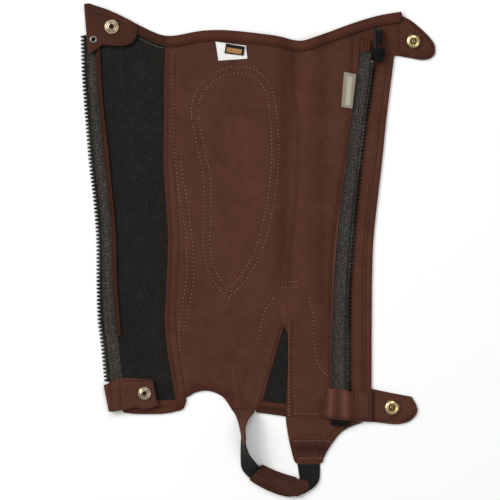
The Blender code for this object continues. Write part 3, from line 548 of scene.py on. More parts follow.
def ripple(p):
    x, y = p[:, 0], p[:, 1]
    left0, left1, right0, right1, low0, low1 = creases["calm"]
    calm = ease(x, left0, left1) * (1 - ease(x, right0, right1)) * ease(y, low0, low1)
    total = np.zeros(len(p))
    for size, rise, seed in creases["waves"]:
        total += rise * (0.5 + 0.5 * np.array([noise.noise((a / size, b / size, seed)) for a, b in p]))
    for x0, y0, x1, y1, rise, reach in creases["rows"]:
        line = np.array((x1 - x0, y1 - y0))
        length = np.linalg.norm(line)
        line = line / length
        along = ((x - x0) * line[0] + (y - y0) * line[1]) / length
        off = (x - x0) * -line[1] + (y - y0) * line[0]
        total += rise * ease(along, -0.15, 0.3) * (1 - ease(along, 0.7, 1.15)) * np.exp(-(off / reach) ** 2)
    return total * calm


# cloth shells: the CAD node's own outline, filled with a fine mesh and laid by a place function

def mergedCopy(node):
    shape = bmesh.new()
    shape.from_mesh(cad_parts[node].data)
    bmesh.ops.remove_doubles(shape, verts=shape.verts, dist=2e-6)
    shape.normal_update()
    return shape


def outlines(shape, isSkin, flatten):
    # the border loops of the faces that pass the test, flattened; the largest comes first
    skin = {face for face in shape.faces if isSkin(face)}
    after = {}
    for face in skin:
        for corner in face.loops:
            if not any(other in skin for other in corner.edge.link_faces if other is not face):
                after[corner.vert] = corner.link_loop_next.vert
    loops = []
    while after:
        start, vert = after.popitem()
        loop = [start]
        while vert is not start and vert in after:
            loop.append(vert)
            vert = after.pop(vert)
        if len(loop) > 3:
            loop = np.array([flatten(v.co / mm) for v in loop])
            loops.append(np.roll(loop, -np.lexsort(loop.T.round(4))[0], 0))    # the same start each run
    areas = [0.5 * (l[:, 0] * np.roll(l[:, 1], -1) - l[:, 1] * np.roll(l[:, 0], -1)).sum() for l in loops]
    order = sorted(range(len(loops)), key=lambda i: -abs(areas[i]))
    outer = loops[order[0]] if areas[order[0]] > 0 else loops[order[0]][::-1]
    holes = [loops[i] if areas[i] < 0 else loops[i][::-1] for i in order[1:]]
    return [outer] + holes


def laid(level):
    # flat cloth at a level over the folds
    def place(p):
        z = level + foldLift(p) + ripple(p)
        return np.column_stack([p, z]), np.tile((0.0, 0.0, 1.0), (len(p), 1))
    return place


def over(node, reach=1.6):
    # cloth that steps over what is under it, as its CAD solid does, softened
    tree = BVHTree.FromBMesh(mergedCopy(node))
    offsets = [(0, 0), (reach, 0), (-reach, 0), (0, reach), (0, -reach), (reach / 2, 0), (-reach / 2, 0)]

    def under(x, y):
        hit = tree.ray_cast(Vector((x, y, -10.0)) * mm, Vector((0, 0, 1)))[0]
        return None if hit is None else hit.z / mm

    def place(p):
        heights = []
        for x, y in p:
            found = [h for h in (under(x + a, y + b) for a, b in offsets) if h is not None]
            if not found:
                found = [tree.find_nearest(Vector((x, y, 0.0)) * mm)[0].z / mm]
            heights.append(sum(found) / len(found))
        return np.column_stack([p, heights]), np.tile((0.0, 0.0, 1.0), (len(p), 1))
    return place


def pieceName(node):
    # the node's name in camelCase; two take a name of their own first
    first, *rest = {"gusset": "ankle_gusset", "eyelet": "eyelet_ring"}.get(node, node).split("_")
    return first + "".join(word.capitalize() for word in rest)


def makeObject(name, verts, faces, material, outward=True):
    mesh = bpy.data.meshes.new(name)
    mesh.from_pydata([tuple(v) for v in verts], [], faces)
    mesh.materials.append(material)
    mesh.shade_smooth()
    if outward:
        shape = bmesh.new()
        shape.from_mesh(mesh)
        bmesh.ops.recalc_face_normals(shape, faces=shape.faces)
        shape.to_mesh(mesh)
        shape.free()
    return placed(name, mesh)


def placed(name, data):
    made = bpy.data.objects.new(name, data)
    bpy.context.scene.collection.objects.link(made)
    return made


def storeValues(piece, **values):
    for name, data in values.items():
        layer = piece.data.attributes.new(name, "FLOAT", "POINT")
        layer.data.foreach_set("value", np.asarray(data, np.float32))


def nearPath(points, marks):
    # 1 within each path's width, fading over its softness
    share = np.zeros(len(points))
    for path, width, soft in marks:
        off = distanceTo(treeOf(evenPath(path, 1.0)), points[:, :2])
        share = np.maximum(share, 1 - ease(off, width - soft, width + soft))
    return share


def splitRound(loop, bend):
    # more outline points where it goes round the fold
    made = []
    for a, b in zip(loop, np.roll(loop, -1, 0)):
        parts = 3 if -bend - 0.5 < (a[0] + b[0]) / 2 < 0.3 and abs(b[0] - a[0]) > 0.6 else 1
        made += [a + (b - a) * k / parts for k in range(parts)]
    return np.array(made)


clothLook = {
    "overlap": 0.13,                                      # outlines grow by this, which closes seams to a hairline
    "outlineStep": (0.75, 1.55),                          # shares of the point spacing and of the rolled edge
    "sewnDip": 0.16, "edgeDip": 0.10, "creaseDip": 0.20,    # shares of the thickness
    "rowClear": 1.7,
    "rowStep": 1.9,
    "rowSides": (-1.1, 0.0, 1.1),
    # the rolled edge from the upper face to the lower: share of the roll, share of the height
    "rolled": ((0.3, 0.93), (0.0, 0.68), (0.0, 0.32), (0.3, 0.07)),
    "bendColumns": 11,
    "bendStep": 1.1,
    "marks": ("tint", "pale", "crease", "shade"),
}


def clothShell(node, loops, place, look, thick, spacing, rows, extra=None, roll=0.8, bend=0.0):
    marks = leatherMarks.get(node, {})
    step = max(clothLook["outlineStep"][0] * spacing, clothLook["outlineStep"][1] * roll)
    outline = [smoothLoop(loop, step) for loop in loops]
    if bend:
        outline[0] = splitRound(outline[0], bend)
    outline = [drawnIn(loop, -clothLook["overlap"]) for loop in outline]
    shares = [room(loop, outline, roll) for loop in outline]
    tops = [drawnIn(loop, roll * share) for loop, share in zip(outline, shares)]
    border = treeOf(np.concatenate([evenPath(np.vstack([l, l[:1]]), 0.5) for l in outline]))
    low, high = outline[0].min(0), outline[0].max(0)
    down = spacing * math.sqrt(0.75)
    grid = []
    for j, y in enumerate(np.arange(low[1], high[1], down)):
        x = np.arange(low[0] + (j % 2) * spacing / 2, high[0], spacing)
        grid.append(np.column_stack([x, np.full(len(x), y)]))
    grid = np.concatenate(grid)
    if bend:
        # straight columns of points round the fold, so that it turns cleanly
        grid = grid[(grid[:, 0] < -bend - 0.6) | (grid[:, 0] > 0.6)]
        columns = np.linspace(-bend, 0.0, clothLook["bendColumns"])
        lines = np.arange(low[1], high[1], clothLook["bendStep"])
        grid = np.concatenate([grid, np.stack(np.meshgrid(columns, lines), -1).reshape(-1, 2)])
    grid = grid[inside(grid, outline)]
    grid = grid[distanceTo(border, grid) > roll + (0.5 if bend else spacing * 0.45)]
    seams = None
    if rows:
        seams = treeOf(np.concatenate([evenPath(row, 0.5) for row in rows]))
        grid = grid[distanceTo(seams, grid) > clothLook["rowClear"]]
        lines = np.concatenate([shifted(evenPath(row, clothLook["rowStep"]), side)
                                for row in rows for side in clothLook["rowSides"]])
        lines = lines[inside(lines, outline)]
        lines = lines[distanceTo(border, lines) > roll + 0.5]
        grid = np.concatenate([grid, lines])
    points, edges, rings = [], [], []
    for top in tops:
        first = len(points)
        count = len(top)
        points.extend(Vector(p) for p in top)
        edges.extend((first + i, first + (i + 1) % count) for i in range(count))
        rings.append(list(range(first, first + count)))
    regions = [rings[0]] + [ring[::-1] for ring in rings[1:]]
    points.extend(Vector(p) for p in grid)
    flat, _, faces, origin, _, owners = delaunay_2d_cdt(points, edges, regions, 0, 1e-4)
    faces = [face for face, owner in zip(faces, owners) if owner == [0]]
    used = sorted({i for face in faces for i in face})
    new = {old: i for i, old in enumerate(used)}
    faces = [tuple(new[i] for i in face) for face in faces]
    spot = {source: new[i] for i in used for source in origin[i]}
    flat = np.array([tuple(flat[i]) for i in used])
    count = len(flat)
    away = distanceTo(border, flat)
    seam = np.zeros(count) if seams is None else np.exp(-(distanceTo(seams, flat) / 1.0) ** 2)
    lower, normal = place(flat)
    dips = clothLook["sewnDip"] * seam + clothLook["edgeDip"] * np.exp(-(away - roll) / 1.2)
    dips += clothLook["creaseDip"] * nearPath(flat, marks.get("crease", ())) * ease(away, roll, roll + 2.0)
    upper = lower + normal * (thick * (1 - dips))[:, None]
    verts = [upper, lower]
    total = 2 * count
    solid = faces + [tuple(i + count for i in reversed(face)) for face in faces]
    edgeShare = [np.exp(-away / 1.6), np.exp(-away / 1.6)]
    for loop, share, ring in zip(outline, shares, rings):
        size = len(loop)
        levels = [[spot[i] for i in ring]]
        for inset, height in clothLook["rolled"]:
            base, up = place(drawnIn(loop, inset * roll * share))
            verts.append(base + up * (thick * height))
            edgeShare.append(np.ones(size))
            levels.append(list(range(total, total + size)))
            total += size
        levels.append([spot[i] + count for i in ring])
        for a, b in zip(levels, levels[1:]):
            solid += [(a[i], b[i], b[(i + 1) % size], a[(i + 1) % size]) for i in range(size)]
    piece = makeObject(pieceName(node), np.concatenate(verts) * mm, solid, finishes[look])
    everywhere = np.concatenate(verts)
    filled = np.zeros(total)
    filled[:count] = filled[count:2 * count] = seam
    shown = {key: nearPath(everywhere, marks.get(key, ())) for key in clothLook["marks"]}
    storeValues(piece, edge=np.concatenate(edgeShare), seam=filled, **shown, **(extra(everywhere) if extra else {}))
    return piece


def topSkin(face):
    return face.normal.z > 0.35


def flatSpot(point):
    return (point.x, point.y)


# sewing rows, by the piece they are sewn on: path in mm, thread, stitch pitch

oval = [
    (-31.8, -51.8), (-36.1, -50.2), (-44.9, -39.2), (-53.7, -24.9), (-58.1, -8.4), (-60.3, 11.4), (-58.8, 49.9),
    (-60.3, 84.0), (-64.7, 104.9), (-68.0, 121.4), (-72.4, 143.4), (-72.9, 157.7), (-67.4, 175.3), (-58.6, 186.8),
    (-46.0, 196.2), (-32.8, 201.1), (-19.6, 202.2), (-6.4, 199.5), (3.5, 194.0), (13.4, 180.8), (18.9, 161.0),
    (21.1, 144.5), (22.6, 115.9), (22.2, 91.7), (19.3, 64.2), (14.5, 36.7), (9.0, 13.6), (2.4, -5.1),
    (-4.2, -18.3), (-15.2, -34.8), (-31.8, -51.8),
]
leftRow = [
    (-93.3, 187.4), (-92.2, 143.4), (-92.2, 110.4), (-89.4, 86.2), (-85.0, 49.9), (-81.9, 35.6), (-79.5, 16.9),
    (-78.4, 0.4), (-78.4, -27.1), (-80.1, -43.6), (-84.5, -65.6), (-87.2, -87.6), (-85.6, -109.6),
]
leftInner = [
    (-84.5, 110.4), (-83.9, 90.6), (-81.2, 71.9), (-77.9, 55.4), (-72.9, 20.2), (-70.7, -5.1), (-70.2, -21.6),
    (-71.3, -38.1), (-75.7, -60.1), (-81.2, -87.6),
]
archEdge = [
    (-88.0, -176.5), (-83.4, -174.8), (-80.9, -171.5), (-78.9, -164.5), (-78.8, -161.9), (-74.6, -159.7),
    (-69.1, -156.4), (-58.1, -154.2), (-47.1, -156.4), (-37.2, -162.4), (-29.0, -174.5),
]
gussetLeft = [(4.6, -165.7), (13.4, -137.1), (21.1, -109.6), (29.2, -83.1)]
innerOval = shifted(smoothPath(oval, 2.0), -7.4)    # the second row, inside the first
sewing = {
    "main_panel": [
        (oval, "pale", 4.2), (innerOval, "pale", 4.2),
        (leftRow, "pale", 4.4), (leftInner, "pale", 4.4),
        (seamLine("panel", 214, -160, 4.6), "brown", 4.0),
        (seamLine("panel", 214, -160, 12.0), "brown", 4.0),
        ([(0.2, -101.9), (4.6, -78.8), (9.0, -63.4), (16.7, -52.4)], "pale", 4.2),
        ([(56.1, -52.4), (60.4, -67.8), (61.3, -98.6), (63.5, -114.0), (69.0, -130.0), (77.2, -137.7)], "pale", 4.2),
        ([(27.7, -34.6), (41.5, -34.6)], "pale", 3.2), ([(26.9, -40.6), (42.5, -40.6)], "pale", 3.2),
        ([(34.3, -76.6), (33.9, -104.1), (33.9, -142.6), (34.3, -181.1)], "pale", 3.4),
        ([(38.2, -78.8), (37.6, -104.1), (37.6, -142.6), (38.2, -181.1)], "brown", 3.8),
        ([(40.6, -178.9), (50.0, -179.4), (65.0, -179.7)], "pale", 3.4),
        (shifted(smoothPath(gussetLeft, 2.0), 3.4), "brown", 3.2),
    ],
    "top_band": [(rimLine(-163, 138, 9.7), "brown", 3.8)],
    "zip_guard": [
        (seamLine("guard", 206, -184, -7.0), "brown", 3.8),
        (seamLine("guard", 70, -152, -10.2), "brown", 3.8),
    ],
    "right_facing": [(seamLine("facing", 232, -148, 1.9), "brown", 3.0)],
    "left_piping": [(seamLine("leftTape", 229, -90, 2.0), "brown", 3.0)],
    "right_zip_tape": [(seamLine("rightTape", 230, -180, 7.6), "grey", 4.0)],
    "left_zip_tape": [(seamLine("leftTape", 228, -140, -6.8), "grey", 4.0)],
    "zip_top_patch": [
        ([(116.6, 230.3), (116.4, 219.3)], "brown", 3.0), ([(119.9, 230.3), (119.9, 219.3)], "brown", 3.0),
    ],
    "zip_garage": [
        ([(76.4, -154.2), (72.2, -168.0), (69.4, -181.6)], "brown", 3.0),
        ([(70.4, -181.3), (84.0, -183.0), (96.5, -184.3), (122.4, -185.2)], "brown", 3.0),
        ([(109.6, -158.0), (110.4, -183.2)], "brown", 3.0),
        ([(121.9, -158.6), (122.0, -183.6)], "brown", 3.0),
    ],
    "strap_yoke": [
        ([(41.0, -209.7), (60.0, -209.2), (78.4, -209.9)], "pale", 3.4),
        ([(42.8, -217.4), (60.0, -217.0), (74.6, -217.3)], "brown", 3.0),
        ([(43.4, -219.9), (60.0, -219.6), (73.6, -219.8)], "brown", 3.0),
        ([(45.2, -228.4), (60.0, -228.2), (69.8, -228.4)], "pale", 2.6),
        ([(94.2, -191.6), (82.6, -199.4), (73.2, -210.4), (67.8, -222.6), (66.0, -231.0)], "brown", 3.2),
    ],
    "top_right_tab": [
        ([(157.6, 255.0), (167.0, 250.3), (177.0, 241.9), (187.0, 231.9), (191.9, 223.4), (191.7, 217.2),
          (187.6, 213.2), (180.2, 211.8), (170.0, 213.4), (158.0, 215.6)], "brown", 3.8),
    ],
    "bottom_right_tab": [
        ([(128.2, -155.6), (128.0, -186.4)], "brown", 3.2),
        ([(130.0, -187.2), (146.0, -187.7), (159.8, -187.4), (167.4, -184.0), (172.6, -175.8)], "brown", 3.2),
    ],
    "gusset_hem": [([(4.0, -172.6), (16.0, -174.0), (28.6, -175.6)], "brown", 3.0)],
    "elastic_panel": [([(-131.0, 233.4), (-121.0, 228.6), (-111.0, 224.4), (-104.4, 222.6)], "grey", 2.4)],
    "elastic_hem": [([(-145.6, -171.4), (-118.0, -172.4), (-95.0, -171.6)], "brown", 3.2)],
}


# the flat-laid pieces

shells = {
    # node: finish, level, thickness, point spacing
    "main_panel": ("suede", 0.0, 1.8, 2.4),
    "zip_guard": ("suede", 0.0, 1.8, 2.4),
    "strap_yoke": ("suede", 0.0, 1.8, 2.2),
    "elastic_panel": ("knit", 0.0, 1.8, 2.8),
    "elastic_hem": ("hem", 0.0, 1.8, 2.2),
    "gusset": ("knit", 0.0, 1.8, 2.4),
    "gusset_hem": ("hem", 0.0, 1.8, 2.0),
    "top_band": ("hem", 2.1, 1.8, 2.2),
    "left_piping": ("hem", 2.1, 1.8, 1.9),
    "right_facing": ("suede", 2.1, 1.8, 2.0),
    "left_zip_tape": ("tape", 0.0, 1.2, 2.4),
    "top_right_tab": ("suede", 0.0, 1.8, 2.2),
    "bottom_right_tab": ("suede", 0.0, 1.8, 2.2),
    "zip_top_patch": ("suede", 4.9, 1.0, 1.6),
    "care_label": ("white", 2.1, 1.0, 1.8),
    "size_label": ("black", 3.4, 1.0, 1.4),
}
stepped = {
    "right_zip_tape": ("tape", 1.2, 2.4),
    "zip_garage": ("suede", 1.8, 1.1),
    "side_label": ("grey", 1.0, 1.6),
}
shinValley = [
    (39.8, 224.0), (39.8, 220.4), (38.7, 176.4), (44.2, 143.4), (44.2, 110.4), (43.1, 88.4), (42.0, 55.4), (38.7, 27.9),
    (36.5, 5.9), (34.3, -38.1),
]
leatherMarks = {
    # tint is redder; pale is lighter, mostly painted highlight, partly rubbed nap; crease is darker, painted shade in
    # the fold, partly darker leather; shade is darker, painted shade, partly a darker tone: path, half width, softness,
    # in mm
    "main_panel": {
        "tint": [(archEdge, 10.0, 3.5), (seamLine("panel", 236, -176, 1.0), 2.6, 2.0), (gussetLeft, 4.0, 2.0)],
        "shade": [([(-84.0, -172.0), (-70.0, -150.0), (-30.0, -160.0)], 4.0, 10.0)],
        "crease": [
            (shinValley, 1.3, 3.2), ([(39.8, 226.0), (39.4, 190.0), (38.7, 176.4)], 0.3, 0.8),
            (seamLine("panel", 234, -172, 3.1), 0.4, 0.7),
            ([(-27.0, -174.0), (-34.0, -158.0), (-46.0, -140.0)], 0.3, 1.4),
            ([(-16.0, -174.0), (-17.0, -156.0), (-12.0, -132.0)], 0.3, 1.8),
            ([(-60.0, -128.0), (-40.0, -112.0), (-14.0, -104.0)], 0.2, 1.8),
            (gussetLeft, 0.2, 2.2),
        ],
        "pale": [
            ([(-30.0, -168.0), (-40.0, -150.0), (-54.0, -134.0)], 0.2, 2.0),
            ([(-22.0, -170.0), (-26.0, -150.0), (-28.0, -128.0)], 0.2, 2.2),
            ([(32.0, -86.0), (28.0, -72.0), (27.0, -60.0)], 0.4, 2.6),
        ],
    },
    "zip_guard": {
        "tint": [(seamLine("guard", 255, -188, 0.0), 2.0, 1.5)],
        "crease": [(seamLine("rightTeeth", 190, -150, 9.6), 0.2, 1.0)],
    },
    "right_facing": {"pale": [(seamLine("rightTape", 100, -150, -0.6), 0.9, 0.9)]},
    # painted highlight on the garage's raised steps and painted shade in the lines beside them
    "zip_garage": {
        "crease": [([(87.8, -151.0), (87.2, -186.0)], 0.5, 0.9), ([(102.8, -151.0), (103.4, -187.0)], 0.6, 1.0)],
        "pale": [([(81.0, -154.0), (79.0, -181.0)], 2.4, 3.0), ([(94.6, -153.0), (95.4, -185.0)], 2.6, 3.0)],
    },
    "strap_yoke": {
        "tint": [([(42.0, -233.5), (70.0, -233.5)], 4.0, 2.0), ([(44.0, -219.0), (73.0, -219.0)], 3.0, 2.0)],
        "crease": [([(44.0, -204.0), (60.0, -202.0), (76.0, -203.0)], 0.3, 2.2)],
        "shade": [([(44.0, -218.0), (72.0, -218.0)], 9.0, 7.0)],
    },
    "left_piping": {"shade": [(seamLine("leftTape", 229, -90, 2.0), 5.0, 2.0)]},
    "zip_top_patch": {"tint": [([(118.0, 232.0), (118.0, 217.0)], 9.0, 2.0)]},
    "gusset_hem": {"shade": [([(4.0, -176.0), (28.0, -178.0)], 6.0, 2.0)]},
    "bottom_right_tab": {"pale": [([(130.0, -189.0), (158.0, -189.0)], 1.0, 1.0)]},
    "top_band": {
        "crease": [(rimLine(-166, 152, 9.0), 0.2, 0.9)],
        "shade": [(rimLine(-143, -106, 6.0), 7.0, 3.0)],
    },
    "top_left_tab": {"shade": [([(-186.0, 262.0), (-140.0, 226.0)], 12.0, 36.0)]},
}
labelAxes = {"care_label": (32.0, -4.2), "size_label": (19.5, -3.2), "side_label": (3.1, 38.0)}


def labelValues(node):
    along = np.array(labelAxes[node])
    along = along / np.linalg.norm(along)
    across = np.array((-along[1], along[0]))

    def values(points):
        u, v = points[:, :2] @ along, points[:, :2] @ across
        return {"u": (u - u.min()) * mm, "v": (v - v.min()) * mm}
    return values


def tapeValues(column, side):
    def values(points):
        return {"across": side * (points[:, 0] - seamX(column, points[:, 1])) * mm}
    return values


extras = {
    "left_zip_tape": tapeValues("leftTape", -1.0),
    "right_zip_tape": tapeValues("rightTape", 1.0),
    **{node: labelValues(node) for node in labelAxes},
}
pieces = {}


tapeEnd = (122.6, 218.6, 230.6)    # right of the first, the tape stops at the second, and elsewhere at the third


def cutBack(loop, right, low, high):
    loop = evenPath(np.vstack([loop, loop[:1]]), 0.4)[:-1]
    kept = loop[:, 1] < np.where(loop[:, 0] > right, low, high) - 0.4
    start = np.flatnonzero(kept & ~np.roll(kept, 1))[0]
    loop = np.roll(loop, -start, 0)[:kept.sum()]
    return np.vstack([loop, [(loop[-1, 0], low), (right, low), (right, high), (loop[0, 0], high)]])


def shellOf(node, look, place, thick, spacing):
    loops = outlines(mergedCopy(node), topSkin, flatSpot)
    if node == "right_zip_tape":
        loops[0] = cutBack(loops[0], *tapeEnd)
    roll = min(0.8, 0.45 * thick)
    rows = [smoothPath(path, 1.5) for path, _, _ in sewing.get(node, ())]
    return clothShell(node, loops, place, look, thick, spacing, rows, extras.get(node), roll)


for node, (look, level, thick, spacing) in shells.items():
    pieces[node] = shellOf(node, look, laid(level), thick, spacing)
for node, (look, thick, spacing) in stepped.items():
    pieces[node] = shellOf(node, look, over(node), thick, spacing)
print("flat cloth:", len(pieces), "pieces,", sum(len(p.data.polygons) for p in pieces.values()), "faces")


# the two tabs turned over their own fold

foldedTabs = {
    "top_left_tab": {
        "foldTop": (-188.4, 270.9), "foldLow": (-185.7, 237.6),
        # the outline between these places across the fold, beyond this one along it, becomes the tail
        "bare": (-1.5, 0.6, 33.0), "tail": [(0.6, 55.0), (-1.2, 54.9), (-1.88, 53.4)],
    },
    "bottom_left_tab": {"foldTop": (-167.0, -147.4), "foldLow": (-161.0, -177.7)},
    "radius": 1.2,
    "thick": 1.8,
    "middle": 3.0,
    "spacing": 1.7,
}


def foldedTab(node, rows):
    made = foldedTabs[node]
    radius, thick, middle = foldedTabs["radius"], foldedTabs["thick"], foldedTabs["middle"]
    corner = np.array(made["foldTop"]) + tableShift
    down = np.array(made["foldLow"]) + tableShift - corner
    down /= np.linalg.norm(down)
    inward = np.array((-down[1], down[0]))
    bend = math.pi * radius

    def around(point):
        offset = np.array((point.x, point.y)) - corner
        return offset @ inward, offset @ down, point.z - middle

    def isSkin(face):
        for vert in face.verts:
            across, _, height = around(vert.co / mm)
            reach = abs(height) if across > -1e-3 else math.hypot(across, height)
            if abs(reach - radius - thick) > 0.09:
                return False
        return True

    def flatten(point):
        across, along, height = around(point)
        if across > -1e-3:
            return (across, along) if height > 0 else (-bend - across, along)
        return (-radius * math.atan2(-across, height), along)

    def place(p):
        turn = np.clip(-p[:, 0] / radius, 0.0, math.pi)
        reach = np.where(p[:, 0] >= 0, p[:, 0], np.where(p[:, 0] > -bend, 0.0, -p[:, 0] - bend))
        normal = np.column_stack([-inward[0] * np.sin(turn), -inward[1] * np.sin(turn), np.cos(turn)])
        spots = corner + inward * reach[:, None] + down * p[:, 1:2]
        return np.column_stack([spots, np.full(len(p), middle)]) + normal * radius, normal

    loops = outlines(mergedCopy(node), isSkin, flatten)
    if "tail" in made:
        outer = loops[0]
        left, right, beyond = made["bare"]
        bare = np.flatnonzero((outer[:, 0] > left) & (outer[:, 0] < right) & (outer[:, 1] > beyond))
        loops[0] = np.vstack([outer[:bare[0]], made["tail"], outer[bare[-1] + 1:]])
    flatRows = []
    for path in rows:
        offset = np.asarray(path, float) - corner
        flatRows.append(smoothPath(np.column_stack([offset @ inward, offset @ down]), 1.5))
    return clothShell(node, loops, place, "suede", thick, foldedTabs["spacing"], flatRows, bend=bend)


sewing["top_left_tab"] = [
    ([(-184.4, 262.0), (-176.0, 259.6), (-160.0, 255.0), (-143.0, 246.4), (-136.4, 244.0)], "brown", 3.8),
]
sewing["bottom_left_tab"] = [
    ([(-162.4, -145.4), (-159.9, -175.6)], "brown", 3.2),
    ([(-151.6, -144.8), (-150.2, -172.6)], "brown", 3.2),
    ([(-146.0, -143.8), (-119.0, -143.2)], "brown", 3.2),
]
for node in ("top_left_tab", "bottom_left_tab"):
    pieces[node] = foldedTab(node, [path for path, _, _ in sewing[node]])
print("folded tabs done")


# stirrup strap, tongue and sleeve

strapLook = {
    "columns": ("outerX", "outerY", "innerX", "innerY", "level", "rise"),
    "tongue": [
        (-29.2, -175.05, -2.5, -175.05, 0.0, 0.0), (-26.4, -178.5, -4.2, -178.7, 0.0, 4.5),
        (-22.6, -184.8, -9.4, -184.8, 0.0, 13.0), (-20.2, -191.4, -12.5, -191.4, 0.0, 17.8),
        (-18.4, -198.0, -13.4, -198.0, 0.0, 19.0), (-17.3, -205.7, -12.9, -205.5, 0.0, 19.4),
        (-17.5, -212.4, -13.0, -212.0, 0.0, 19.4),
    ],
    # the strap's first end is sewn between the tongue's two layers
    "strap": [
        (-17.63, -207.9, -13.07, -207.7, 0.15, 19.1), (-18.0, -213.4, -12.7, -213.0, 0.1, 19.3),
        (-18.4, -224.5, -9.2, -222.5, 0.0, 18.6),
        (-18.5, -233.0, -3.5, -230.5, 0.0, 14.6), (-16.6, -242.0, 1.2, -236.5, 0.4, 8.5),
        (-8.4, -251.3, 4.0, -236.9, 1.5, 0.0), (0.8, -257.5, 11.0, -240.4, 1.5, 0.0),
        (11.7, -263.0, 20.0, -244.4, 1.5, 0.0), (24.6, -267.9, 30.6, -248.0, 1.5, 0.0),
        (36.6, -269.9, 42.0, -251.3, 1.5, 0.0), (45.6, -269.6, 44.8, -251.8, 1.5, 0.0),
        (53.6, -266.0, 45.4, -251.2, 1.5, 0.0), (61.4, -260.8, 45.6, -250.4, 1.3, 0.0),
        (66.5, -254.3, 45.4, -248.8, 0.8, 0.0), (68.2, -246.4, 44.7, -244.6, 0.2, 0.0),
        (68.2, -235.3, 43.3, -235.3, 0.0, 0.0),
    ],
    "steps": 8,
    "strips": 12,
    "dent": 0.12,               # how far the faces fall in between the edges
    "edgeFade": 22,
}
strapLook["parts"] = {
    # node: rows, thickness, finish, shade
    "strap_tongue": (strapLook["tongue"], 1.8, "suede", 0.45),
    "stirrup_strap": (strapLook["strap"], 1.5, "knit", 0.0),
}


def hermite(values, at):
    # the same curve through even keys as the part's source, flat where the values turn back
    last = len(values) - 1
    i = min(int(at), last - 1)
    u = at - i

    def slope(k):
        low, high = max(k - 1, 0), min(k + 1, last)
        if low < k < high and (values[high] - values[k]) * (values[k] - values[low]) <= 0:
            return 0.0
        return (values[high] - values[low]) / (high - low)

    return ((2 * u ** 3 - 3 * u ** 2 + 1) * values[i] + (u ** 3 - 2 * u ** 2 + u) * slope(i)
            + (3 * u ** 2 - 2 * u ** 3) * values[i + 1] + (u ** 3 - u ** 2) * slope(i + 1))


def ribbon(node, rows, thick, look, shade):
    # a strap that may twist, as a wall on the outer side of its two edges
    strips = strapLook["strips"]
    count = (len(rows) - 1) * strapLook["steps"]
    columns = list(zip(*rows))
    edges = []
    for i in range(count + 1):
        v = [hermite(column, i / strapLook["steps"]) for column in columns]
        outer = Vector((v[0] + tableShift[0], v[1] + tableShift[1], max(0.0, v[4])))
        inner = Vector((v[2] + tableShift[0], v[3] + tableShift[1], max(0.0, v[4] + v[5])))
        edges.append((outer, inner))
    # share of the width, share of the thickness: one half of the section, then the same turned round
    half = [(0.012, 0.22), (0.04, 0.04)] + [(0.07 + 0.86 * i / strips, 0.0) for i in range(strips + 1)]
    half += [(0.96, 0.04), (0.988, 0.22), (1.0, 0.5)]
    section = half + [(1 - s, 1 - h) for s, h in half]
    verts, across = [], []
    for i, (outer, inner) in enumerate(edges):
        before, after = edges[max(i - 1, 0)], edges[min(i + 1, count)]
        travel = (after[0] + after[1]) - (before[0] + before[1])
        travel.z = 0.0
        normal = travel.cross(inner - outer).normalized()
        for s, h in section:
            dent = strapLook["dent"] * math.sin(math.pi * s) if h > 0.05 else 0.0
            verts.append(outer.lerp(inner, s) + normal * (thick * h - dent * h))
            across.append(s * (inner - outer).length * mm)
    ring = len(section)
    faces = [tuple(range(ring - 1, -1, -1)), tuple(range(count * ring, (count + 1) * ring))]
    for i in range(count):
        for j in range(ring):
            k = (j + 1) % ring
            faces.append((i * ring + j, i * ring + k, (i + 1) * ring + k, (i + 1) * ring + j))
    piece = makeObject(pieceName(node), [v * mm for v in verts], faces, finishes[look])
    piece.data.set_sharp_from_angle(angle=math.radians(60))
    share = np.array([min(s, 1 - s) for s, _ in section] * (count + 1))
    fade = np.exp(-share * strapLook["edgeFade"])
    storeValues(piece, across=across, edge=fade, shade=np.full(len(across), shade))
    return piece


for node, facts in strapLook["parts"].items():
    pieces[node] = ribbon(node, *facts)


refinedLook = {
    # node: finish, rounding of the edges, segments round them, longest edge left
    "parts": {
        "strap_sleeve": ("suede", 0.45, 2, 1.2),
        "zip_slider": ("enamel", 0.42, 3, None),
        "pull_tab": ("enamel", 0.60, 4, None),
        "zip_box": ("enamel", 0.5, 3, None),
    },
    "flat": math.radians(0.4),
    "sharp": math.radians(38),
    "shaded": math.radians(50),
    # the sleeve's soft creases, which run the long way, with painted shade in their troughs and painted highlight on
    # their ridges, and how much darker the whole sleeve is
    "sleeve": {"turn": math.radians(27), "along": 26.0, "across": 3.4, "depth": 1.1, "shade": 1.0,
               "crease": 0.8, "pale": 0.5},
}


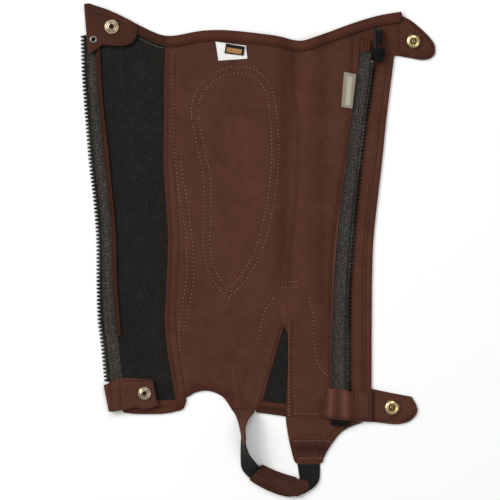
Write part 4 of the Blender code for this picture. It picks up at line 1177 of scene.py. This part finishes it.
def refined(node, look, rounding, segments, longest):
    # the CAD solid itself with its edges rounded and, for cloth, a finer and softer skin
    shape = mergedCopy(node)
    bmesh.ops.dissolve_limit(shape, angle_limit=refinedLook["flat"], verts=shape.verts, edges=shape.edges)
    sharp = [e for e in shape.edges if len(e.link_faces) == 2 and e.calc_face_angle(0.0) > refinedLook["sharp"]]
    bmesh.ops.bevel(shape, geom=sharp, offset=rounding * mm, segments=segments, profile=0.5, affect="EDGES",
                    clamp_overlap=True)
    bmesh.ops.triangulate(shape, faces=shape.faces)
    for _ in range(6 if longest else 0):
        long = [e for e in shape.edges if e.calc_length() > longest * mm]
        if not long:
            break
        bmesh.ops.subdivide_edges(shape, edges=long, cuts=1)
        bmesh.ops.triangulate(shape, faces=shape.faces)
    bmesh.ops.recalc_face_normals(shape, faces=shape.faces)
    dips, sway = [], refinedLook["sleeve"]
    if longest:
        axis = Matrix.Rotation(sway["turn"], 3, "Z")
        for vert in shape.verts:
            spot = axis @ vert.co / mm
            trough = 0.5 + 0.5 * noise.noise(Vector((spot.x / sway["along"], spot.y / sway["across"], 4.3)))
            vert.co.z -= min(max(vert.co.z / mm - 1.0, 0.0), 1.0) * mm * sway["depth"] * trough
            dips.append(trough)
    mesh = bpy.data.meshes.new(pieceName(node))
    shape.to_mesh(mesh)
    shape.free()
    mesh.materials.append(finishes[look])
    mesh.shade_smooth()
    mesh.set_sharp_from_angle(angle=refinedLook["shaded"])
    piece = placed(mesh.name, mesh)
    if dips:
        dips = np.array(dips)
        # painted shade in the troughs and painted highlight on the ridges
        storeValues(piece, crease=ease(dips, 0.50, 0.72) * sway["crease"],
                    pale=(1 - ease(dips, 0.28, 0.44)) * sway["pale"], shade=np.full(len(dips), sway["shade"]))
    return piece


for node, facts in refinedLook["parts"].items():
    pieces[node] = refined(node, *facts)
print("strap and zip parts done")


# snaps and eyelet, turned

snapLook = {
    "sides": 56,
    "shank": 2.0,
    "capFoot": 0.3,
    # share of the radius, height over the leather, and painted shade: 1 in the grooves, hollows and under the rim, 0 on
    # the bright brass
    "stud": [
        (0.90, 0.30, 1.0), (0.985, 0.42, 1.0), (1.0, 0.75, 0.9), (0.985, 1.05, 0.85), (0.93, 1.25, 0.8),
        (0.875, 1.22, 0.9), (0.845, 1.10, 1.0), (0.82, 1.30, 0.55), (0.78, 1.62, 0.1), (0.70, 2.00, 0.0),
        (0.60, 2.34, 0.0), (0.52, 2.58, 0.0), (0.46, 2.66, 0.05), (0.425, 2.62, 0.5), (0.405, 2.30, 1.0),
        (0.35, 1.50, 1.0), (0.255, 1.48, 1.0), (0.225, 1.85, 0.5), (0.20, 2.06, 0.0), (0.16, 2.10, 0.1),
        (0.125, 1.80, 1.0), (0.09, 1.70, 1.0), (0.05, 1.72, 1.0), (0.0, 1.74, 1.0),
    ],
    "ring": [
        (0.90, 0.30, 1.0), (0.985, 0.42, 0.8), (1.0, 0.72, 0.5), (0.985, 1.02, 0.15), (0.93, 1.28, 0.0),
        (0.87, 1.36, 0.05), (0.82, 1.20, 0.8), (0.79, 1.10, 1.0), (0.76, 1.20, 0.8), (0.71, 1.50, 0.0),
        (0.64, 1.72, 0.0), (0.60, 1.70, 0.5), (0.56, 1.50, 1.0), (0.53, 1.60, 0.9), (0.49, 1.98, 0.1),
        (0.44, 2.20, 0.0), (0.40, 2.20, 0.4), (0.365, 1.96, 1.0), (0.345, 1.40, 1.0), (0.33, 0.80, 1.0),
        (0.20, 0.62, 1.0), (0.12, 0.60, 1.0), (0.0, 0.60, 1.0),
    ],
    "eyelet": [
        (0.40, -1.40, 1.0), (0.40, 0.35, 1.0), (0.44, 0.80, 0.6), (0.54, 1.08, 0.1), (0.68, 1.18, 0.0),
        (0.84, 1.02, 0.0), (0.96, 0.72, 0.1), (1.0, 0.38, 0.5), (0.94, 0.30, 1.0), (0.56, 0.30, 1.0),
        (0.545, -1.40, 1.0),
    ],
}
fasteners = {
    # node: profile, finish, height of the leather under it
    "snap_top_left": ("ring", "silver", 6.0),
    "snap_bottom_left": ("ring", "silver", 6.0),
    "snap_top_right": ("stud", "brass", 1.8),
    "snap_bottom_right": ("stud", "brass", 1.8),
    "eyelet": ("eyelet", "steel", 6.0),
}


def turnedPiece(node, profile, look, surface):
    low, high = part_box(node)
    centre, radius = (low + high) / 2, (high.x - low.x) / 2 / mm
    rows = [(share * radius, surface + height, shade) for share, height, shade in snapLook[profile]]
    closed = profile == "eyelet"
    if not closed:
        foot, shank = low.z / mm, snapLook["shank"]
        rows = [(0.0, foot, 1.0), (shank, foot, 1.0), (shank, surface + snapLook["capFoot"], 1.0)] + rows
    sides = snapLook["sides"]
    verts, shades, rings = [], [], []
    for reach, height, shade in rows:
        if reach < 1e-6:
            rings.append([len(verts)] * sides)
            verts.append((centre.x, centre.y, height * mm))
            shades.append(shade)
            continue
        rings.append(list(range(len(verts), len(verts) + sides)))
        for i in range(sides):
            turn = math.tau * i / sides
            spot = (centre.x + reach * mm * math.cos(turn), centre.y + reach * mm * math.sin(turn))
            verts.append((*spot, height * mm))
        shades += [shade] * sides
    pairs = list(zip(rings, rings[1:])) + ([(rings[-1], rings[0])] if closed else [])
    faces = []
    for a, b in pairs:
        for i in range(sides):
            k = (i + 1) % sides
            faces.append(tuple(dict.fromkeys((a[i], a[k], b[k], b[i]))))
    piece = makeObject(pieceName(node), verts, faces, finishes[look])
    storeValues(piece, shade=shades)
    return piece


for node, facts in fasteners.items():
    pieces[node] = turnedPiece(node, *facts)
print("fasteners:", len(fasteners))


# Geometry Nodes: stitches and zip teeth along curves

def groupTree(name, inputs):
    tree = bpy.data.node_groups.new(name, "GeometryNodeTree")
    for label, kind in inputs:
        tree.interface.new_socket(label, in_out="INPUT", socket_type=kind)
    tree.interface.new_socket("Geometry", in_out="OUTPUT", socket_type="NodeSocketGeometry")
    graph = Graph(tree)
    source = tree.nodes.new("NodeGroupInput")
    values = {label: Value(graph, source.outputs[label]) for label, _ in inputs}
    return tree, graph, values


def closeTree(g, result):
    g.tree.links.new(result.socket, g.tree.nodes.new("NodeGroupOutput").inputs[0])
    return g.tree


def spotsAlong(g, curve, pitch, axis):
    # even points along a curve, and the rotation that turns an axis along it
    even = g.node("GeometryNodeResampleCurve", {"mode": "LENGTH"}, {"Curve": curve, "Length": pitch})
    points = g.node("GeometryNodeCurveToPoints", {"mode": "EVALUATED"}, {"Curve": even}, out="Points")
    tangent = Value(g, points.socket.node.outputs["Tangent"])
    return points, g.node("FunctionNodeAlignRotationToVector", {"axis": axis}, {"Vector": tangent})


def curveOf(name, paths):
    data = bpy.data.curves.new(name, "CURVE")
    data.dimensions = "3D"
    for path in paths:
        spline = data.splines.new("POLY")
        spline.points.add(len(path) - 1)
        spline.points.foreach_set("co", np.column_stack([np.asarray(path) * mm, np.ones(len(path))]).ravel())
    return placed(name, data)


def grown(name, curve, tree, settings):
    # runs the tree on the curve and keeps its result as a plain mesh
    modifier = curve.modifiers.new(tree.name, "NODES")
    modifier.node_group = tree
    sockets = {item.name: item.identifier for item in tree.interface.items_tree if item.in_out == "INPUT"}
    for label, value in settings.items():
        modifier[sockets[label]] = value
    bpy.context.view_layer.update()
    evaluated = curve.evaluated_get(bpy.context.evaluated_depsgraph_get())
    mesh = bpy.data.meshes.new_from_object(evaluated)
    mesh.name = name
    bpy.data.objects.remove(curve, do_unlink=True)
    return placed(name, mesh)


def stitchTree():
    _, g, given = groupTree("stitchRow", [
        ("Rows", "NodeSocketGeometry"), ("Pitch", "NodeSocketFloat"), ("Length", "NodeSocketFloat"),
        ("Thread", "NodeSocketFloat"), ("Rise", "NodeSocketFloat"), ("Unevenness", "NodeSocketFloat"),
        ("Seed", "NodeSocketInt"), ("Finish", "NodeSocketMaterial"),
    ])
    points, aim = spotsAlong(g, given["Rows"], given["Pitch"], "X")

    def drawn(low, high):
        sockets = {2: low, 3: high, "Seed": given["Seed"]}
        return g.node("FunctionNodeRandomValue", {"data_type": "FLOAT"}, sockets, out=1)

    swing = drawn(given["Unevenness"] * -0.22, given["Unevenness"] * 0.22)
    twist = g.node("FunctionNodeEulerToRotation", {}, {0: g.node("ShaderNodeCombineXYZ", {}, {"Z": swing})})
    turn = g.node("FunctionNodeRotateRotation", {"rotation_space": "LOCAL"}, {"Rotation": aim, "Rotate By": twist})
    half = given["Length"] * 0.5
    sunk = given["Thread"] * -1.1
    arc = g.node("GeometryNodeCurveQuadraticBezier", {}, {
        "Resolution": 5, "Start": g.node("ShaderNodeCombineXYZ", {}, {"X": -half, "Z": sunk}),
        "Middle": g.node("ShaderNodeCombineXYZ", {}, {"Z": given["Rise"]}),
        "End": g.node("ShaderNodeCombineXYZ", {}, {"X": half, "Z": sunk}),
    })
    ring = g.node("GeometryNodeCurvePrimitiveCircle", {}, {"Resolution": 6, "Radius": given["Thread"]})
    strand = g.node("GeometryNodeCurveToMesh", {}, {"Curve": arc, "Profile Curve": ring, "Fill Caps": True})
    size = drawn(1 - given["Unevenness"] * 0.25, 1 + given["Unevenness"] * 0.15)
    sewn = g.node("GeometryNodeInstanceOnPoints", {},
                  {"Points": points, "Instance": strand, "Rotation": turn, "Scale": size})
    real = g.node("GeometryNodeRealizeInstances", {}, {"Geometry": sewn})
    soft = g.node("GeometryNodeSetShadeSmooth", {}, {"Geometry": real})
    return closeTree(g, g.node("GeometryNodeSetMaterial", {}, {"Geometry": soft, "Material": given["Finish"]}))


stitchLook = {
    "pale": {"Length": 1.9 * mm, "Thread": 0.34 * mm, "Rise": 0.50 * mm},
    "brown": {"Length": 2.0 * mm, "Thread": 0.42 * mm, "Rise": 0.42 * mm},
    "grey": {"Length": 2.2 * mm, "Thread": 0.36 * mm, "Rise": 0.50 * mm},
    "lift": 0.08,               # over the cloth
    "above": 40.0,              # where the search for the cloth starts
    "firstSeed": 11,
}


def sewRows():
    tree = stitchTree()
    groups = {}
    for node, rows in sewing.items():
        shape = bmesh.new()
        shape.from_mesh(pieces[node].data)
        surface = BVHTree.FromBMesh(shape)
        shape.free()
        for path, thread, pitch in rows:
            line = []
            for x, y in smoothPath(path, 1.2):
                hit = surface.ray_cast(Vector((x, y, stitchLook["above"])) * mm, Vector((0, 0, -1)))[0]
                if hit is not None:
                    line.append((x, y, hit.z / mm + stitchLook["lift"]))
            if len(line) > 2:
                groups.setdefault((thread, pitch), []).append(line)
    made = {}
    for seed, ((thread, pitch), paths) in enumerate(sorted(groups.items())):
        name = f"{thread}Thread{int(pitch * 10)}"
        curve = curveOf(name + "Rows", paths)
        made[name] = grown(name, curve, tree, {
            "Pitch": pitch * mm, "Unevenness": 1.0, "Seed": stitchLook["firstSeed"] + seed,
            "Finish": finishes[thread + "Thread"], **stitchLook[thread],
        })
    return made


stitches = sewRows()
print("sewing:", len(stitches), "threads,", sum(len(p.data.polygons) for p in stitches.values()), "faces")


# zip teeth

zipLook = {
    "pitch": 4.2 * mm,
    "width": 6.0,
    # half a tooth from the bead to its tip, x and y
    "tooth": [(-3.0, 0.0), (-3.0, -1.26), (-3.0, -1.8375), (-0.5, -1.8375), (0.2, -1.2075), (1.3, -1.155),
              (2.3, -0.8925), (2.9, -0.4725), (3.0, 0.0)],
    # share of the length, share of the width, share of the height: the crown slopes down to the tape
    "layers": [(1.0, 1.0, 0.0), (1.0, 1.0, 0.42), (0.92, 0.88, 0.61), (0.50, 0.42, 0.98), (0.46, 0.36, 1.0)],
    "crown": (0.9, 0.0),
    "sharp": math.radians(48),
    "beadRadius": 1.0 * mm,
    "beadShift": 1.6 * mm,
    "beadRise": 1.05 * mm,
    "left": {"side": -1.0, "top": 235.0, "bottom": -142.6, "height": 2.4},
    "right": {"side": 1.0, "top": 207.0, "bottom": -182.6, "height": 2.2},
}


def toothObject(name, side, height):
    # one moulded tooth: a block on the bead, a waist and a round head that points off the tape
    outline = np.array(zipLook["tooth"] + [(x, -y) for x, y in reversed(zipLook["tooth"][1:-1])])
    layers, centre = zipLook["layers"], np.array(zipLook["crown"])
    verts, faces, count = [], [], len(outline)
    for long, wide, z in layers:
        verts += [(*((p - centre) * (long, wide) + centre), z * height) for p in outline]
    for layer in range(len(layers) - 1):
        for i in range(count):
            k = (i + 1) % count
            faces.append(tuple(layer * count + corner for corner in (i, k, k + count, i + count)))
    faces += [tuple(range(count - 1, -1, -1)), tuple(range((len(layers) - 1) * count, len(layers) * count))]
    verts = [(x * side * mm, y * side * mm, z * mm) for x, y, z in verts]
    tooth = makeObject(name, verts, faces, finishes["teeth"], outward=False)
    tooth.data.set_sharp_from_angle(angle=zipLook["sharp"])
    return tooth


def teethTree():
    _, g, given = groupTree("toothRow", [
        ("Line", "NodeSocketGeometry"), ("Pitch", "NodeSocketFloat"), ("Tooth", "NodeSocketObject"),
        ("Bead Radius", "NodeSocketFloat"), ("Bead Shift", "NodeSocketVector"), ("Plastic", "NodeSocketMaterial"),
        ("Cord", "NodeSocketMaterial"),
    ])
    points, aim = spotsAlong(g, given["Line"], given["Pitch"], "Y")
    tooth = g.node("GeometryNodeObjectInfo", {}, {"Object": given["Tooth"]}, out="Geometry")
    row = g.node("GeometryNodeInstanceOnPoints", {}, {"Points": points, "Instance": tooth, "Rotation": aim})
    real = g.node("GeometryNodeRealizeInstances", {}, {"Geometry": row})
    teeth = g.node("GeometryNodeSetMaterial", {}, {"Geometry": real, "Material": given["Plastic"]})
    line = g.node("GeometryNodeSetPosition", {}, {"Geometry": given["Line"], "Offset": given["Bead Shift"]})
    ring = g.node("GeometryNodeCurvePrimitiveCircle", {}, {"Resolution": 10, "Radius": given["Bead Radius"]})
    bead = g.node("GeometryNodeCurveToMesh", {}, {"Curve": line, "Profile Curve": ring, "Fill Caps": True})
    bead = g.node("GeometryNodeSetShadeSmooth", {}, {"Geometry": bead})
    bead = g.node("GeometryNodeSetMaterial", {}, {"Geometry": bead, "Material": given["Cord"]})
    both = g.node("GeometryNodeJoinGeometry", {}, {0: teeth})
    g.tree.links.new(bead.socket, both.socket.node.inputs[0])
    return closeTree(g, both)


def zipChain(half, tree):
    node, name, facts = half + "_zip_chain", half + "ZipChain", zipLook[half]
    side, height = facts["side"], facts["height"]
    middle = seamLine(half + "Teeth", facts["top"], facts["bottom"], -side * zipLook["width"] / 2, 3.0)
    bottom = over(node, 0.8)(middle)[0]
    tooth = toothObject(name + "Tooth", side, height)
    curve = curveOf(name + "Line", [bottom[::-1]])
    made = grown(name, curve, tree, {
        "Pitch": zipLook["pitch"], "Tooth": tooth, "Bead Radius": zipLook["beadRadius"],
        "Bead Shift": (-side * zipLook["beadShift"], 0.0, zipLook["beadRise"]),
        "Plastic": finishes["teeth"], "Cord": finishes["tape"],
    })
    bpy.data.objects.remove(tooth, do_unlink=True)
    return made


chainTree = teethTree()
for half in ("left", "right"):
    made = pieces[half + "_zip_chain"] = zipChain(half, chainTree)
    print(half, "zip chain:", len(made.data.polygons), "faces")


# floor, light and camera

studio = {
    "floor": (0.92, 0.92, 0.915),
    "fibre": (0.86, 0.86, 0.85),
    "floorHalf": 4.0,
    "floorStep": 8.0 / 12,
    "floorLevel": -0.0002,
    "sensor": 36.0,
    "world": (1.0, 1.0, 1.0),
    "worldStrength": 0.42,
    "frameWidth": 0.55,
    "distance": 2.5,
    "centre": (-0.0086, 0.0004),
    # area lights: name, place, size, watts
    "lights": [
        ("keySoftbox", (-2.60, 1.40, 1.95), 2.4, 95.0),
        ("glintLamp", (-2.35, 0.05, 1.95), 0.5, 11.0),
        ("fillSoftbox", (1.7, -0.7, 2.2), 1.6, 12.0),
        ("topSoftbox", (0.30, 1.9, 1.8), 1.0, 15.0),
    ],
}


def makeStudio():
    f = Finish("paperFloor", Specular_IOR_Level=0.2)
    fibre = f.speckle(220.0, 3.0)
    paper = f.feed(Base_Color=f.mix(fibre * 0.03, studio["floor"], studio["fibre"]), Roughness=0.85 + fibre * 0.1)
    half, step = studio["floorHalf"], studio["floorStep"]
    count = round(2 * half / step)
    verts = [(-half + step * i, -half + step * j, studio["floorLevel"])
             for j in range(count + 1) for i in range(count + 1)]
    corners = (0, 1, count + 2, count + 1)
    faces = [tuple(j * (count + 1) + i + corner for corner in corners) for j in range(count) for i in range(count)]
    makeObject("paperFloor", verts, faces, paper, outward=False)
    world = bpy.data.worlds.new("studioAir")
    world.use_nodes = True
    air = world.node_tree.nodes["Background"]
    air.inputs["Color"].default_value = (*studio["world"], 1.0)
    air.inputs["Strength"].default_value = studio["worldStrength"]
    bpy.context.scene.world = world
    for name, place, size, watts in studio["lights"]:
        data = bpy.data.lights.new(name, "AREA")
        data.shape, data.size, data.energy = "DISK", size, watts
        light = placed(name, data)
        light.location = place
        light.rotation_euler = (-Vector(place)).to_track_quat("-Z", "Y").to_euler()
    data = bpy.data.cameras.new("overhead")
    data.sensor_width = studio["sensor"]
    data.lens = studio["sensor"] * studio["distance"] / studio["frameWidth"]
    camera = placed("overhead", data)
    camera.location = (*studio["centre"], studio["distance"])
    bpy.context.scene.camera = camera
    bpy.context.scene.view_settings.view_transform = "Standard"


makeStudio()
print("studio done")


# bodies: each piece goes on its body, and the CAD node it stands in for is hidden

for node, piece in pieces.items():
    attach(piece, "pull_tab" if node == "pull_tab" else "chap")
    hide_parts(node)
for piece in stitches.values():
    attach(piece, "chap")
